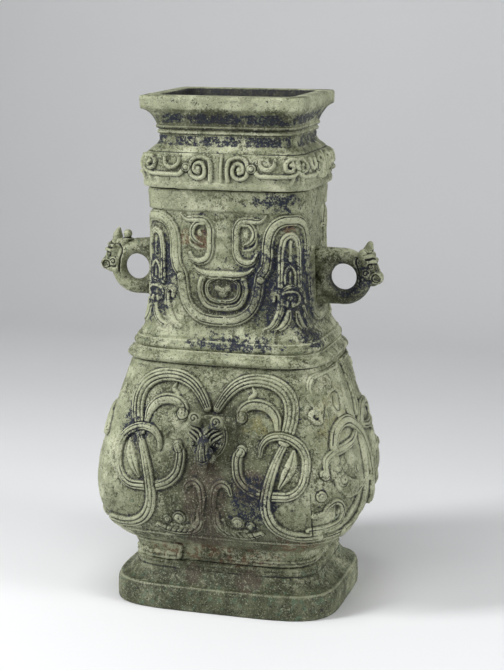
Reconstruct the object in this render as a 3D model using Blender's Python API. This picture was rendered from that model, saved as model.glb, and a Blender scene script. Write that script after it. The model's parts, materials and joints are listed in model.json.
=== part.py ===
"""A square hu of cast bronze: a hollow, pot-bellied vessel on a ring foot, and its lift-off lid.

The vessel has a carved belly and neck and two loop handles with animal heads, all cast in one with it.
The lid stands in the mouth on a tongue, and its open crown flares like a second mouth.

Metres, +Z up. The front looks along -Y, the handles stand on -X and +X, and the origin is the centre of
the footprint, on the ground.
"""

import math
from dataclasses import dataclass

import bmesh
import bpy
import numpy as np
from mathutils import Matrix, Vector

# Heights of the storeys, from the ground up
FOOT_HEIGHT = 0.066
BELLY_LOWER_HEIGHT = 0.081
BELLY_UPPER_HEIGHT = 0.143
ROLLS_HEIGHT = 0.032
NECK_HEIGHT = 0.147
COLLAR_HEIGHT = 0.025
LID_SHOULDER_HEIGHT = 0.054
LID_CROWN_HEIGHT = 0.0517
SEAT_GAP = 0.0003

# Full widths along X and depths along Y of the bare wall, without its carving
FOOT_WIDTH, FOOT_DEPTH = 0.273, 0.209
FOOT_NECK_WIDTH, FOOT_NECK_DEPTH = 0.219, 0.169
BELLY_WIDTH, BELLY_DEPTH = 0.316, 0.253
SHOULDER_WIDTH, SHOULDER_DEPTH = 0.240, 0.187
NECK_FOOT_WIDTH, NECK_FOOT_DEPTH = 0.219, 0.169
NECK_WIDTH, NECK_DEPTH = 0.1846, 0.142
COLLAR_REACH = 0.0032
LID_FLANGE_REACH = 0.0035
LID_WAIST_INSET, LID_WAIST_INSET_DEPTH = 0.017, 0.0115
CROWN_INSET, CROWN_DEPTH_REACH = 0.003, 0.002

# How square the rounded outlines are: 2 is an oval, and a box is reached far above 9
FOOT_SQUARENESS = 4.6
FOOT_NECK_SQUARENESS = 4.8
BELLY_SQUARENESS = 4.1
SHOULDER_SQUARENESS = 4.4
NECK_FOOT_SQUARENESS = 5.2
NECK_SQUARENESS = 5.5
LID_WAIST_SQUARENESS = 6.3
CROWN_SQUARENESS = 9.0

# Walls and fits
WALL = 0.005
FLOOR_THICKNESS = 0.006
LID_PLATE_THICKNESS = 0.005
LID_PLATE_DROP = 0.008
TONGUE_LENGTH = 0.022
TONGUE_THICKNESS = 0.004
TONGUE_CLEARANCE = 0.0015
LIP_THICKNESS = 0.018

# Profiles between two levels: share of the height, share of the change in size
FOOT_PROFILE = (
    (0.0, 0.0),
    (0.33, 0.0),
    (0.40, 0.17),
    (0.47, 0.52),
    (0.66, 0.74),
    (0.70, 0.93),
    (0.80, 0.82),
    (0.88, 1.0),
)
RECESS_PROFILE = ((0.0, 0.0), (0.33, 0.0), (0.47, 0.52), (0.66, 0.80), (1.0, 1.0))
BELLY_FOOT = (0.05, 0.02)
BELLY_SWELL_HEIGHTS = (0.12, 0.30, 0.58)
BELLY_FULLNESS = 1.7
BELLY_EASE = 0.06
BELLY_UPPER_BENDS = ((0.20, 0.05), (0.42, 0.27), (0.70, 0.64))
GROOVE_PLACE = (0.47, 0.43)
NECK_FOOT_BENDS = ((0.0, 0.05), (0.06, 0.38))
NECK_BENDS = ((0.16, 0.64), (0.45, 0.88))
LID_SHOULDER_PROFILE = (
    (0.0, 0.0),
    (0.14, -0.09),
    (0.17, -0.03),
    (0.34, -0.12),
    (0.53, -0.09),
    (0.66, 0.06),
    (0.77, 0.28),
    (0.88, 0.72),
    (1.0, 1.0),
)
LID_HOLLOW_PROFILE = ((0.34, -0.12), (0.53, -0.09), (0.70, 0.20))
CROWN_PROFILE = (
    (0.19, 0.04),
    (0.40, 0.29),
    (0.60, 0.50),
    (0.70, 0.86),
    (0.71, 1.0),
    (1.0, 1.0),
)
LID_RELIEF_SPAN = (0.16, 0.77)
ROLL_SHAPE = ((0.25, 0.9), (0.75, 0.9))
LOWER_ROLL_BULGE = 0.0035
UPPER_ROLL_BULGE = 0.0028
COLLAR_STEP_HEIGHT = 0.0015

# Carving: how wide a band is, how far it stands out, and how deep its foot is sunk in the wall
RELIEF_SINK = 0.0030
EDGE_SLOPE = 0.0012
WAVE_WIDTH, WAVE_RISE = 0.011, 0.0030
NECK_BAND_WIDTH, NECK_RISE = 0.006, 0.0026
NECK_FINE_WIDTH = 0.0045
MOUTH_WIDTH = 0.008
SHIELD_BOSS_RADIUS = 0.008
SERPENT_WIDTH, SERPENT_RISE = 0.013, 0.0045
SERPENT_FINE_WIDTH = 0.010
SMALL_BAND_WIDTH, SMALL_RISE = 0.008, 0.0035
SMALL_BOSS_RADIUS, SMALL_BOSS_RISE = 0.008, 0.0044
LID_BAND_WIDTH, LID_RISE = 0.0045, 0.0028
LID_BOSS_RADIUS = 0.0045
BOSS_SIDES = 6
BOSS_TIERS = ((0.85, 0.6), (0.45, 1.0))

# Handles: a round loop on an upright bar, the bar sunk a little in the neck
HANDLE_HEIGHT_ON_NECK = 0.0685
HANDLE_HOLE_RADIUS = 0.0150
HANDLE_THICKNESS = 0.0180
HANDLE_DEPTH = 0.0210
HANDLE_STEPS, HANDLE_SIDES = 14, 8
HANDLE_BAR_HEIGHT = 0.070
HANDLE_BAR_DEPTH = 0.0176
HANDLE_BAR_THICKNESS = 0.0186
HANDLE_BAR_BEVEL = 0.0045
HANDLE_BAR_BITE = 0.0025
HANDLE_BAR_SETBACK = 0.0022

# Modelled heads, as shares of their own size: places of the lumps and their half sizes
LUMP_SIDES, LUMP_TIERS = 6, 4
BELLY_HEAD_SIZE = 0.050
BELLY_HEAD_HEIGHT_SHARE = 0.70
BELLY_SKULL = ((0.00, 0.00, 0.08), (0.40, 0.46, 0.30))
BELLY_MUZZLE = ((0.00, -0.38, 0.20), (0.25, 0.30, 0.28))
BELLY_HORNS = (((0.28, 0.40, 0.10), (0.20, 0.20, 0.24)), ((-0.28, 0.40, 0.10), (0.20, 0.20, 0.24)))
HANDLE_HEAD_SIZE = 0.030
HANDLE_HEAD_LUMPS = (
    ((0.97, 0.0, 0.53), (0.39, 0.44, 0.50)),
    ((1.13, 0.0, 0.10), (0.32, 0.37, 0.28)),
    ((1.37, 0.0, -0.12), (0.19, 0.38, 0.19)),
    ((0.95, 0.33, 1.12), (0.23, 0.20, 0.32)),
    ((0.95, -0.33, 1.12), (0.23, 0.20, 0.32)),
)

# Places round the wall: 0 is the middle of the front, 1 the corner, 2 the middle of the right side
FRONT, RIGHT, BACK, LEFT = 0.0, 2.0, 4.0, 6.0
TURN = 8.0
QUARTER_COLUMNS = (0.0, 0.5, 0.82, 1.0, 1.2, 1.55)

BRONZE_COLOUR = (0.36, 0.39, 0.28, 1.0)
BRONZE_ROUGHNESS = 0.62
BRONZE_METALLIC = 0.35


@dataclass(frozen=True)
class Ring:
    """One level of a wall: its height, its half sizes and how square its rounded outline is."""

    height: float
    half_width: float
    half_depth: float
    squareness: float

    def at(self, height):
        """The same outline at another height."""
        return Ring(height, self.half_width, self.half_depth, self.squareness)


def ring(height, width, depth, squareness):
    """A ring from a full width and depth."""
    return Ring(height, width / 2, depth / 2, squareness)


def between(low, high, shape):
    """Rings from low to high: shape holds (share of the height, share of the change in size) pairs."""
    rings = []
    for up, out in shape:
        rings.append(
            Ring(
                low.height + up * (high.height - low.height),
                low.half_width + out * (high.half_width - low.half_width),
                low.half_depth + out * (high.half_depth - low.half_depth),
                low.squareness + up * (high.squareness - low.squareness),
            )
        )
    return rings


def grown(base, amount):
    """A ring that stands out by an amount all round."""
    return Ring(base.height, base.half_width + amount, base.half_depth + amount, base.squareness)


def roll(low, high, bulge):
    """The rings of a rounded moulding between two rings, without the two themselves."""
    rings = []
    for up, share in ROLL_SHAPE:
        rings += [grown(r, bulge * share) for r in between(low, high, ((up, up),))]
    return rings


def quarter_curve(level, samples=160):
    """Points of a rounded-square outline from the middle of the front to the middle of the right side."""
    turn = np.linspace(-math.pi / 2, 0.0, 2 * samples + 1)
    power = level.squareness
    reach = (np.abs(np.cos(turn)) ** power + np.abs(np.sin(turn)) ** power) ** (-1 / power)
    return np.c_[level.half_width * reach * np.cos(turn), level.half_depth * reach * np.sin(turn)]


def quarter_point(level, share):
    """The point at a share of the way: 0 the middle of the front, 1 the corner, 2 the middle of the side."""
    curve = quarter_curve(level)
    run = np.r_[0.0, np.cumsum(np.hypot(*np.diff(curve, axis=0).T))]
    corner = len(curve) // 2
    lengths = np.interp(share, (0.0, 1.0, 2.0), (0.0, run[corner], run[-1]))
    return np.interp(lengths, run, curve[:, 0]), np.interp(lengths, run, curve[:, 1])


def column_shares():
    """Where the columns of facets stand, once round the wall."""
    mirrored = [2 * RIGHT - share for share in reversed(QUARTER_COLUMNS[1:])]
    half = [*QUARTER_COLUMNS, RIGHT, *mirrored]
    return half + [share + BACK for share in half]


def outline(level):
    """The outline's corner points of one ring, as (x, y) pairs, one to a column."""
    points = []
    for share in column_shares():
        side = share % BACK
        x, y = quarter_point(level, side if side <= RIGHT else BACK - side)
        if side > RIGHT:
            y = -y
        if share >= BACK:
            x, y = -x, -y
        points.append((float(x), float(y)))
    return points


class Skin:
    """The faceted outer surface through a stack of rings, as something that carving can be laid on."""

    def __init__(self, rings):
        self.heights = np.array([r.height for r in rings])
        self.columns = np.array([*column_shares(), TURN])
        grid = np.array([outline(r) for r in rings])
        self.grid = np.concatenate([grid, grid[:, :1]], axis=1)

    def point(self, around, height):
        """The point on the facets at a place round the wall and a height."""
        around = around % TURN
        row = int(np.clip(np.searchsorted(self.heights, height) - 1, 0, len(self.heights) - 2))
        column = int(np.clip(np.searchsorted(self.columns, around) - 1, 0, len(self.columns) - 2))
        span = self.heights[row + 1] - self.heights[row]
        up = float(np.clip((height - self.heights[row]) / span, 0.0, 1.0))
        along = (around - self.columns[column]) / (self.columns[column + 1] - self.columns[column])
        patch = self.grid[row : row + 2, column : column + 2]
        low = patch[0, 0] * (1 - along) + patch[0, 1] * along
        high = patch[1, 0] * (1 - along) + patch[1, 1] * along
        x, y = low * (1 - up) + high * up
        return Vector((float(x), float(y), float(height)))

    def steps(self, around, height):
        """How the point moves with the place round the wall and with the height."""
        turn, rise = 0.06, 0.004
        across = (self.point(around + turn, height) - self.point(around - turn, height)) / (2 * turn)
        upward = (self.point(around, height + rise) - self.point(around, height - rise)) / (2 * rise)
        return across, upward

    def normal(self, around, height):
        """The outward normal there."""
        across, upward = self.steps(around, height)
        return across.cross(upward).normalized()


@dataclass(frozen=True)
class Sheet:
    """The sheet that a storey's carving is drawn on, in metres from the middle of a face and from the ground.

    It is stretched to the storey it is laid on, whatever the storey's real size. The halves say how wide
    the drawing is from the middle of the front and of the side to the corner, at some drawn heights.
    """

    low: float
    high: float
    front_halves: tuple
    side_halves: tuple

    def place(self, face, across, up, real_low, real_high):
        """The place round the wall and the real height of a drawn point; across may run past the corner."""
        heights, halves = zip(*self.front_halves)
        front = float(np.interp(up, heights, halves))
        heights, halves = zip(*self.side_halves)
        side = float(np.interp(up, heights, halves))
        own, other = (front, side) if face in (FRONT, BACK) else (side, front)
        distance = abs(across)
        share = distance / own if distance <= own else 1 + (distance - own) / other
        around = face + math.copysign(share, across)
        height = real_low + (up - self.low) / (self.high - self.low) * (real_high - real_low)
        return around, height


NECK_SHEET = Sheet(
    0.322,
    0.469,
    ((0.322, 0.096), (0.345, 0.091), (0.380, 0.088), (0.469, 0.0855)),
    ((0.322, 0.076), (0.345, 0.072), (0.380, 0.0697), (0.469, 0.0677)),
)
BELLY_SHEET = Sheet(
    0.066,
    0.290,
    ((0.066, 0.100), (0.110, 0.134), (0.150, 0.140), (0.200, 0.133), (0.290, 0.108)),
    ((0.066, 0.080), (0.110, 0.111), (0.150, 0.116), (0.200, 0.110), (0.290, 0.087)),
)
LID_SHEET = Sheet(
    0.503,
    0.536,
    ((0.503, 0.090), (0.515, 0.092), (0.536, 0.087)),
    ((0.503, 0.0715), (0.515, 0.073), (0.536, 0.069)),
)

# The wave that runs round the neck, from the middle of the front to the middle of the side
WAVE = (
    (0.000, 0.3465),
    (0.024, 0.3505),
    (0.041, 0.368),
    (0.047, 0.401),
    (0.0535, 0.410),
    (0.057, 0.446),
    (0.068, 0.4605),
    (0.092, 0.4605),
    (0.103, 0.446),
    (0.1065, 0.410),
    (0.113, 0.401),
    (0.119, 0.368),
    (0.133, 0.3505),
    (0.154, 0.3465),
)

# Neck faces: the eye's outer curl and its inner hook, the mouth, and the shield under it
EYE_CURL = (
    (0.050, 0.465),
    (0.022, 0.460),
    (0.0155, 0.452),
    (0.0165, 0.422),
    (0.026, 0.4145),
    (0.037, 0.420),
)
EYE_HOOK = ((0.035, 0.457), (0.037, 0.441), (0.025, 0.432))
MOUTH = ((-0.034, 0.405), (-0.022, 0.399), (0.022, 0.399), (0.034, 0.405))
SHIELD = (
    (-0.022, 0.391),
    (-0.020, 0.374),
    (-0.010, 0.364),
    (0.010, 0.364),
    (0.020, 0.374),
    (0.022, 0.391),
)
SHIELD_BOSS = (0.0, 0.3775)
SIDE_HOOK = ((0.056, 0.379), (0.065, 0.376), (0.065, 0.357), (0.052, 0.3395))

# Neck corners, drawn as places past the middle of the front
TONGUE = (
    (0.0705, 0.391),
    (0.0715, 0.438),
    (0.080, 0.448),
    (0.0885, 0.438),
    (0.0895, 0.391),
)
FLOWER_CENTRE = (0.080, 0.3755)
FLOWER_HALF_WIDTH, FLOWER_HALF_HEIGHT, FLOWER_SIDES = 0.0095, 0.0076, 6

# Belly front and back, right half: the serpents' bands and the small beasts between them
SERPENT_ARCH = (
    (0.005, 0.248),
    (0.014, 0.268),
    (0.035, 0.280),
    (0.066, 0.280),
    (0.087, 0.266),
    (0.095, 0.240),
    (0.111, 0.208),
    (0.110, 0.178),
    (0.090, 0.159),
)
SERPENT_LOOP = ((0.059, 0.202), (0.068, 0.221), (0.094, 0.220))
SERPENT_TAIL = (
    (0.087, 0.216),
    (0.073, 0.178),
    (0.069, 0.145),
    (0.076, 0.120),
    (0.095, 0.108),
    (0.120, 0.112),
)
INNER_BEND = ((0.033, 0.207), (0.031, 0.182), (0.041, 0.162), (0.066, 0.155))
TRUNK = (
    (0.033, 0.235),
    (0.034, 0.253),
    (0.053, 0.2595),
    (0.071, 0.254),
    (0.080, 0.238),
)
SMALL_BEAST = ((0.014, 0.118), (0.026, 0.103), (0.056, 0.106))
SMALL_BEAST_BOSS = (0.036, 0.1215)

# Belly sides, the half beside the near corner
SIDE_ARCH = (
    (0.106, 0.210),
    (0.094, 0.227),
    (0.060, 0.232),
    (0.026, 0.216),
    (0.010, 0.190),
    (0.006, 0.165),
)
SIDE_BAR = ((0.100, 0.199), (0.078, 0.207), (0.034, 0.211))
SIDE_TAIL = ((0.104, 0.116), (0.092, 0.126), (0.086, 0.140), (0.095, 0.149))
SIDE_SNOUT = ((0.040, 0.250), (0.074, 0.249), (0.074, 0.266), (0.050, 0.268))
SIDE_EYES = ((0.098, 0.173), (0.070, 0.175))

# Lid, right half of a long face, and the curls of a short face
LID_SPIRAL = (
    (0.010, 0.507),
    (0.011, 0.529),
    (0.023, 0.533),
    (0.036, 0.528),
    (0.035, 0.513),
    (0.022, 0.512),
    (0.023, 0.522),
)
LID_BEAST = (
    (0.042, 0.512),
    (0.084, 0.511),
    (0.088, 0.527),
    (0.076, 0.533),
    (0.070, 0.523),
    (0.079, 0.520),
)
LID_BOSS = (0.048, 0.5215)
LID_SIDE_SPIRAL = tuple((across * 0.80, up) for across, up in LID_SPIRAL)
LID_SIDE_BEAST = tuple((across * 0.80, up) for across, up in LID_BEAST)
LID_BAR_ENDS = (0.505, 0.534)


def clear_scene():
    """Removes whatever the file holds."""
    for item in list(bpy.data.objects):
        bpy.data.objects.remove(item, do_unlink=True)


def bronze(name):
    """The bronze of one piece."""
    material = bpy.data.materials.new(name)
    material.use_nodes = True
    shader = material.node_tree.nodes["Principled BSDF"]
    shader.inputs["Base Color"].default_value = BRONZE_COLOUR
    shader.inputs["Roughness"].default_value = BRONZE_ROUGHNESS
    shader.inputs["Metallic"].default_value = BRONZE_METALLIC
    material.diffuse_color = BRONZE_COLOUR
    return material


def make_object(name, vertices, faces, material=None):
    """A mesh object with its faces turned outwards."""
    mesh = bpy.data.meshes.new(name)
    mesh.from_pydata([tuple(v) for v in vertices], [], faces)
    model = bmesh.new()
    model.from_mesh(mesh)
    bmesh.ops.recalc_face_normals(model, faces=model.faces)
    model.to_mesh(mesh)
    model.free()
    item = bpy.data.objects.new(name, mesh)
    bpy.context.scene.collection.objects.link(item)
    if material:
        mesh.materials.append(material)
    return item


def stack_of(name, rings, material):
    """A closed body through a run of rings, with a flat cap on the first ring and on the last."""
    columns = len(column_shares())
    vertices = []
    for level in rings:
        vertices += [(x, y, level.height) for x, y in outline(level)]
    faces = []
    for row in range(len(rings) - 1):
        for column in range(columns):
            following = (column + 1) % columns
            low, high = row * columns, (row + 1) * columns
            faces.append((low + column, low + following, high + following, high + column))
    top = (len(rings) - 1) * columns
    faces.append(tuple(reversed(range(columns))))
    faces.append(tuple(top + column for column in range(columns)))
    return make_object(name, vertices, faces, material)


def inset(rings, wall):
    """The inside of a wall of one thickness behind a run of rings, measured square to the wall."""
    inner = []
    for index, level in enumerate(rings):
        before, after = rings[max(index - 1, 0)], rings[min(index + 1, len(rings) - 1)]
        rise = after.height - before.height
        spread = after.half_width - before.half_width
        length = math.hypot(rise, spread)
        inner.append(
            Ring(
                level.height + wall * spread / length,
                level.half_width - wall * rise / length,
                level.half_depth - wall * rise / length,
                level.squareness,
            )
        )
    return inner


class Levels:
    """The rings at which the storeys of the vessel and the lid meet."""

    def __init__(self):
        height = FOOT_HEIGHT
        self.base = ring(0.0, FOOT_WIDTH, FOOT_DEPTH, FOOT_SQUARENESS)
        self.foot_neck = ring(height, FOOT_NECK_WIDTH, FOOT_NECK_DEPTH, FOOT_NECK_SQUARENESS)
        height += BELLY_LOWER_HEIGHT
        self.widest = ring(height, BELLY_WIDTH, BELLY_DEPTH, BELLY_SQUARENESS)
        height += BELLY_UPPER_HEIGHT
        self.shoulder = ring(height, SHOULDER_WIDTH, SHOULDER_DEPTH, SHOULDER_SQUARENESS)
        height += ROLLS_HEIGHT
        self.neck_foot = ring(height, NECK_FOOT_WIDTH, NECK_FOOT_DEPTH, NECK_FOOT_SQUARENESS)
        self.groove = between(self.shoulder, self.neck_foot, (GROOVE_PLACE,))[0]
        height += NECK_HEIGHT
        self.neck_top = ring(height, NECK_WIDTH, NECK_DEPTH, NECK_SQUARENESS)
        self.collar_foot = grown(self.neck_top, COLLAR_REACH).at(height + COLLAR_STEP_HEIGHT)
        height += COLLAR_HEIGHT
        self.mouth = self.collar_foot.at(height)
        height += SEAT_GAP
        self.lid_seat = grown(self.mouth, LID_FLANGE_REACH).at(height)
        height += LID_SHOULDER_HEIGHT
        self.lid_waist = Ring(
            height,
            self.lid_seat.half_width - LID_WAIST_INSET,
            self.lid_seat.half_depth - LID_WAIST_INSET_DEPTH,
            LID_WAIST_SQUARENESS,
        )
        height += LID_CROWN_HEIGHT
        self.crown = Ring(
            height,
            self.lid_seat.half_width - CROWN_INSET,
            self.lid_seat.half_depth + CROWN_DEPTH_REACH,
            CROWN_SQUARENESS,
        )


def belly_curve():
    """The belly's lower swell as shares of its height and of its change in size."""
    shape = []
    for up in BELLY_SWELL_HEIGHTS:
        out = (1 - (1 - up) ** BELLY_FULLNESS) ** (1 / BELLY_FULLNESS)
        shape.append((up + BELLY_EASE * (1 - up), out))
    return tuple(shape)


def vessel_rings(levels):
    """The outside of the vessel from the ground to the mouth."""
    return [
        *between(levels.base, levels.foot_neck, FOOT_PROFILE),
        *between(levels.foot_neck, levels.widest, (BELLY_FOOT, *belly_curve())),
        levels.widest,
        *between(levels.widest, levels.shoulder, BELLY_UPPER_BENDS),
        levels.shoulder,
        *roll(levels.shoulder, levels.groove, LOWER_ROLL_BULGE),
        levels.groove,
        *roll(levels.groove, levels.neck_foot, UPPER_ROLL_BULGE),
        *between(levels.neck_foot, levels.neck_top, (*NECK_FOOT_BENDS, *NECK_BENDS)),
        levels.neck_top,
        levels.collar_foot,
        levels.mouth,
    ]


def cavity_rings(levels):
    """The room inside the vessel, from its floor up and out through the mouth."""
    floor = grown(levels.foot_neck, -WALL).at(levels.foot_neck.height + FLOOR_THICKNESS)
    followed = [
        *between(levels.foot_neck, levels.widest, belly_curve()),
        levels.widest,
        *between(levels.widest, levels.shoulder, BELLY_UPPER_BENDS),
        levels.shoulder,
        levels.neck_foot,
        *between(levels.neck_foot, levels.neck_top, NECK_BENDS),
    ]
    hole = mouth_hole(levels)
    return [floor, *inset(followed, WALL), hole.at(levels.neck_top.height), hole.at(hole.height + WALL)]


def mouth_hole(levels):
    """The ring of the hole that the lid's tongue goes into."""
    return grown(levels.neck_top, -WALL).at(levels.mouth.height)


def recess_rings(levels):
    """The hollow under the foot, from below the ground up to the floor's underside."""
    inside = inset(between(levels.base, levels.foot_neck, RECESS_PROFILE), WALL)
    return [inside[0].at(-WALL), *inside[1:-1], inside[-1].at(levels.foot_neck.height)]


def lid_rings(levels):
    """The outside of the lid from its seat to its lip."""
    return [
        *between(levels.lid_seat, levels.lid_waist, LID_SHOULDER_PROFILE),
        *between(levels.lid_waist, levels.crown, CROWN_PROFILE),
    ]


def lid_tongue_rings(levels):
    """The tongue that reaches down into the mouth, up to inside the lid's wall."""
    around = grown(mouth_hole(levels), -TONGUE_CLEARANCE)
    seat = levels.lid_seat.height
    return [around.at(seat - TONGUE_LENGTH), around.at(seat + 2 * WALL)]


def lid_plate_underside(levels):
    """The height of the underside of the lid's plate."""
    return levels.lid_waist.height - LID_PLATE_DROP


def lid_hollow_rings(levels):
    """The hollow under the lid, from below the tongue to the underside of its plate."""
    narrow = grown(lid_tongue_rings(levels)[0], -TONGUE_THICKNESS)
    shoulder = between(levels.lid_seat, levels.lid_waist, LID_HOLLOW_PROFILE)
    return [
        narrow.at(narrow.height - WALL),
        narrow.at(levels.lid_seat.height + WALL),
        *(grown(r, -WALL) for r in shoulder),
        grown(levels.lid_waist, -WALL).at(lid_plate_underside(levels)),
    ]


def crown_dish_rings(levels):
    """The open dish inside the crown, from the top of the lid's plate up past the lip."""
    opening = grown(levels.crown, -LIP_THICKNESS)
    return [
        grown(levels.lid_waist, -WALL).at(lid_plate_underside(levels) + LID_PLATE_THICKNESS),
        opening.at(levels.crown.height - LIP_THICKNESS),
        opening.at(levels.crown.height + WALL),
    ]


class Carving:
    """Raised work laid on a skin and kept in a hidden collection until it is joined to its wall."""

    def __init__(self, name):
        self.collection = bpy.data.collections.new(name)
        bpy.context.scene.collection.children.link(self.collection)
        self.count = 0

    def keep(self, item):
        """Hides a shape and puts it in the collection."""
        bpy.context.scene.collection.objects.unlink(item)
        self.collection.objects.link(item)
        item.hide_render = True
        item.display_type = "WIRE"
        self.count += 1
        return item

    def name_of(self, kind):
        """A name that no other shape has."""
        return f"{self.collection.name}_{kind}_{self.count:03d}"

    def band(self, skin, path, width, rise, closed=False):
        """A raised band along a path of (around, height) places, with sloping edges and its foot sunk in."""
        count = len(path)
        vertices = []
        for index, (around, height) in enumerate(path):
            if closed:
                before, after = path[index - 1], path[(index + 1) % count]
            else:
                before, after = path[max(index - 1, 0)], path[min(index + 1, count - 1)]
            here = skin.point(around, height)
            arriving = (here - skin.point(*before)) if before != (around, height) else None
            leaving = (skin.point(*after) - here) if after != (around, height) else None
            arriving = (arriving or leaving).normalized()
            leaving = (leaving or arriving).normalized()
            along = (arriving + leaving).normalized()
            normal = skin.normal(around, height)
            aside = along.cross(normal).normalized()
            bend = max(along.dot(leaving), 0.75)
            half = width / 2 / bend
            across, upward = skin.steps(around, height)
            places = []
            for offset in (-half, half):
                for shrink in (0.0, EDGE_SLOPE):
                    reach = math.copysign(abs(offset) - shrink, offset)
                    step = aside * reach
                    side = around + step.dot(across) / across.length_squared
                    level = height + step.dot(upward) / upward.length_squared
                    places.append((side, level))
            left_foot, left_top, right_foot, right_top = places
            vertices.append(skin.point(*left_foot) - skin.normal(*left_foot) * RELIEF_SINK)
            vertices.append(skin.point(*left_top) + skin.normal(*left_top) * rise)
            vertices.append(skin.point(*right_top) + skin.normal(*right_top) * rise)
            vertices.append(skin.point(*right_foot) - skin.normal(*right_foot) * RELIEF_SINK)
        faces = []
        for index in range(count if closed else count - 1):
            low, high = 4 * index, 4 * ((index + 1) % count)
            for corner in range(4):
                following = (corner + 1) % 4
                faces.append((low + corner, low + following, high + following, high + corner))
        if not closed:
            faces.append((0, 1, 2, 3))
            faces.append(tuple(4 * (count - 1) + corner for corner in (3, 2, 1, 0)))
        return self.keep(make_object(self.name_of("band"), vertices, faces))

    def boss(self, skin, place, radius, rise):
        """A low round boss with a domed top."""
        around, height = place
        across, upward = skin.steps(around, height)
        centre = skin.point(around, height)
        normal = skin.normal(around, height)
        first = across.normalized()
        second = normal.cross(first)
        vertices = []
        tiers = [(1.0, -RELIEF_SINK), *((share, rise * lift) for share, lift in BOSS_TIERS)]
        for share, lift in tiers:
            for side in range(BOSS_SIDES):
                turn = math.tau * side / BOSS_SIDES
                spoke = first * math.cos(turn) + second * math.sin(turn)
                vertices.append(centre + spoke * radius * share + normal * lift)
        top = len(BOSS_TIERS) * BOSS_SIDES
        faces = [tuple(range(BOSS_SIDES)), tuple(top + side for side in range(BOSS_SIDES))]
        for tier in range(0, top, BOSS_SIDES):
            for side in range(BOSS_SIDES):
                following = (side + 1) % BOSS_SIDES
                faces.append(
                    (tier + side, tier + following, tier + BOSS_SIDES + following, tier + BOSS_SIDES + side)
                )
        return self.keep(make_object(self.name_of("boss"), vertices, faces))

    def lump(self, centre, radii, axes):
        """An egg-shaped lump with its own three axes, for the modelled heads."""
        mesh = bpy.data.meshes.new(self.name_of("lump"))
        model = bmesh.new()
        bmesh.ops.create_uvsphere(model, u_segments=LUMP_SIDES, v_segments=LUMP_TIERS, radius=1.0)
        frame = Matrix([tuple(axis) for axis in axes]).transposed().to_4x4()
        sizes = Matrix.Diagonal((*radii, 1.0))
        bmesh.ops.transform(model, matrix=Matrix.Translation(centre) @ frame @ sizes, verts=model.verts)
        bmesh.ops.recalc_face_normals(model, faces=model.faces)
        model.to_mesh(mesh)
        model.free()
        item = bpy.data.objects.new(mesh.name, mesh)
        bpy.context.scene.collection.objects.link(item)
        return self.keep(item)

    def join_to(self, wall):
        """Joins every shape of the collection to a wall."""
        union = wall.modifiers.new(self.collection.name, "BOOLEAN")
        union.operation = "UNION"
        union.operand_type = "COLLECTION"
        union.collection = self.collection
        union.solver = "EXACT"
        union.use_self = True
        return union


def hide(item):
    """Marks an object as a cutter or helper."""
    item.hide_render = True
    item.display_type = "WIRE"
    return item


def cut(wall, cutter):
    """Cuts a hidden body out of a wall."""
    hide(cutter)
    modifier = wall.modifiers.new(cutter.name, "BOOLEAN")
    modifier.operation = "DIFFERENCE"
    modifier.object = cutter
    modifier.solver = "EXACT"
    return modifier


def laid(sheet, face, path, low, high, side=1):
    """A drawn path as places on a wall; side -1 mirrors it about the middle of its face."""
    return [sheet.place(face, side * across, up, low, high) for across, up in path]


def carve_neck(carving, skin, low, high):
    """The wave round the neck, the faces with eyes and mouths, and the tongues on the front corners."""

    def at(face, path, side=1):
        return laid(NECK_SHEET, face, path, low, high, side)

    wave = []
    for face in (FRONT, BACK):
        quarter = at(face, WAVE)
        mirrored = [(2 * (face + RIGHT) - around, height) for around, height in reversed(quarter)]
        wave += quarter[:-1] + mirrored[:-1]
    carving.band(skin, wave, WAVE_WIDTH, WAVE_RISE, closed=True)
    for face in (FRONT, BACK):
        for side in (1, -1):
            carving.band(skin, at(face, EYE_CURL, side), NECK_BAND_WIDTH, NECK_RISE)
            if face == BACK:
                continue
            carving.band(skin, at(face, TONGUE, side), NECK_FINE_WIDTH, NECK_RISE)
            carving.band(skin, at(face, EYE_HOOK, side), NECK_FINE_WIDTH, NECK_RISE)
            carving.band(skin, at(face, SIDE_HOOK, side), NECK_BAND_WIDTH, NECK_RISE)
            carving.band(skin, at(face, flower_ring(), side), NECK_FINE_WIDTH, NECK_RISE, closed=True)
        carving.band(skin, at(face, MOUTH), MOUTH_WIDTH, NECK_RISE)
        carving.band(skin, at(face, SHIELD), NECK_BAND_WIDTH, NECK_RISE)
        carving.boss(skin, at(face, (SHIELD_BOSS,))[0], SHIELD_BOSS_RADIUS, NECK_RISE)


def flower_ring():
    """The drawn ring of the flower under a corner's tongue."""
    ring_path = []
    for step in range(FLOWER_SIDES):
        turn = math.tau * step / FLOWER_SIDES + math.pi / 2
        across = FLOWER_CENTRE[0] + FLOWER_HALF_WIDTH * math.cos(turn)
        ring_path.append((across, FLOWER_CENTRE[1] + FLOWER_HALF_HEIGHT * math.sin(turn)))
    return ring_path


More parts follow.
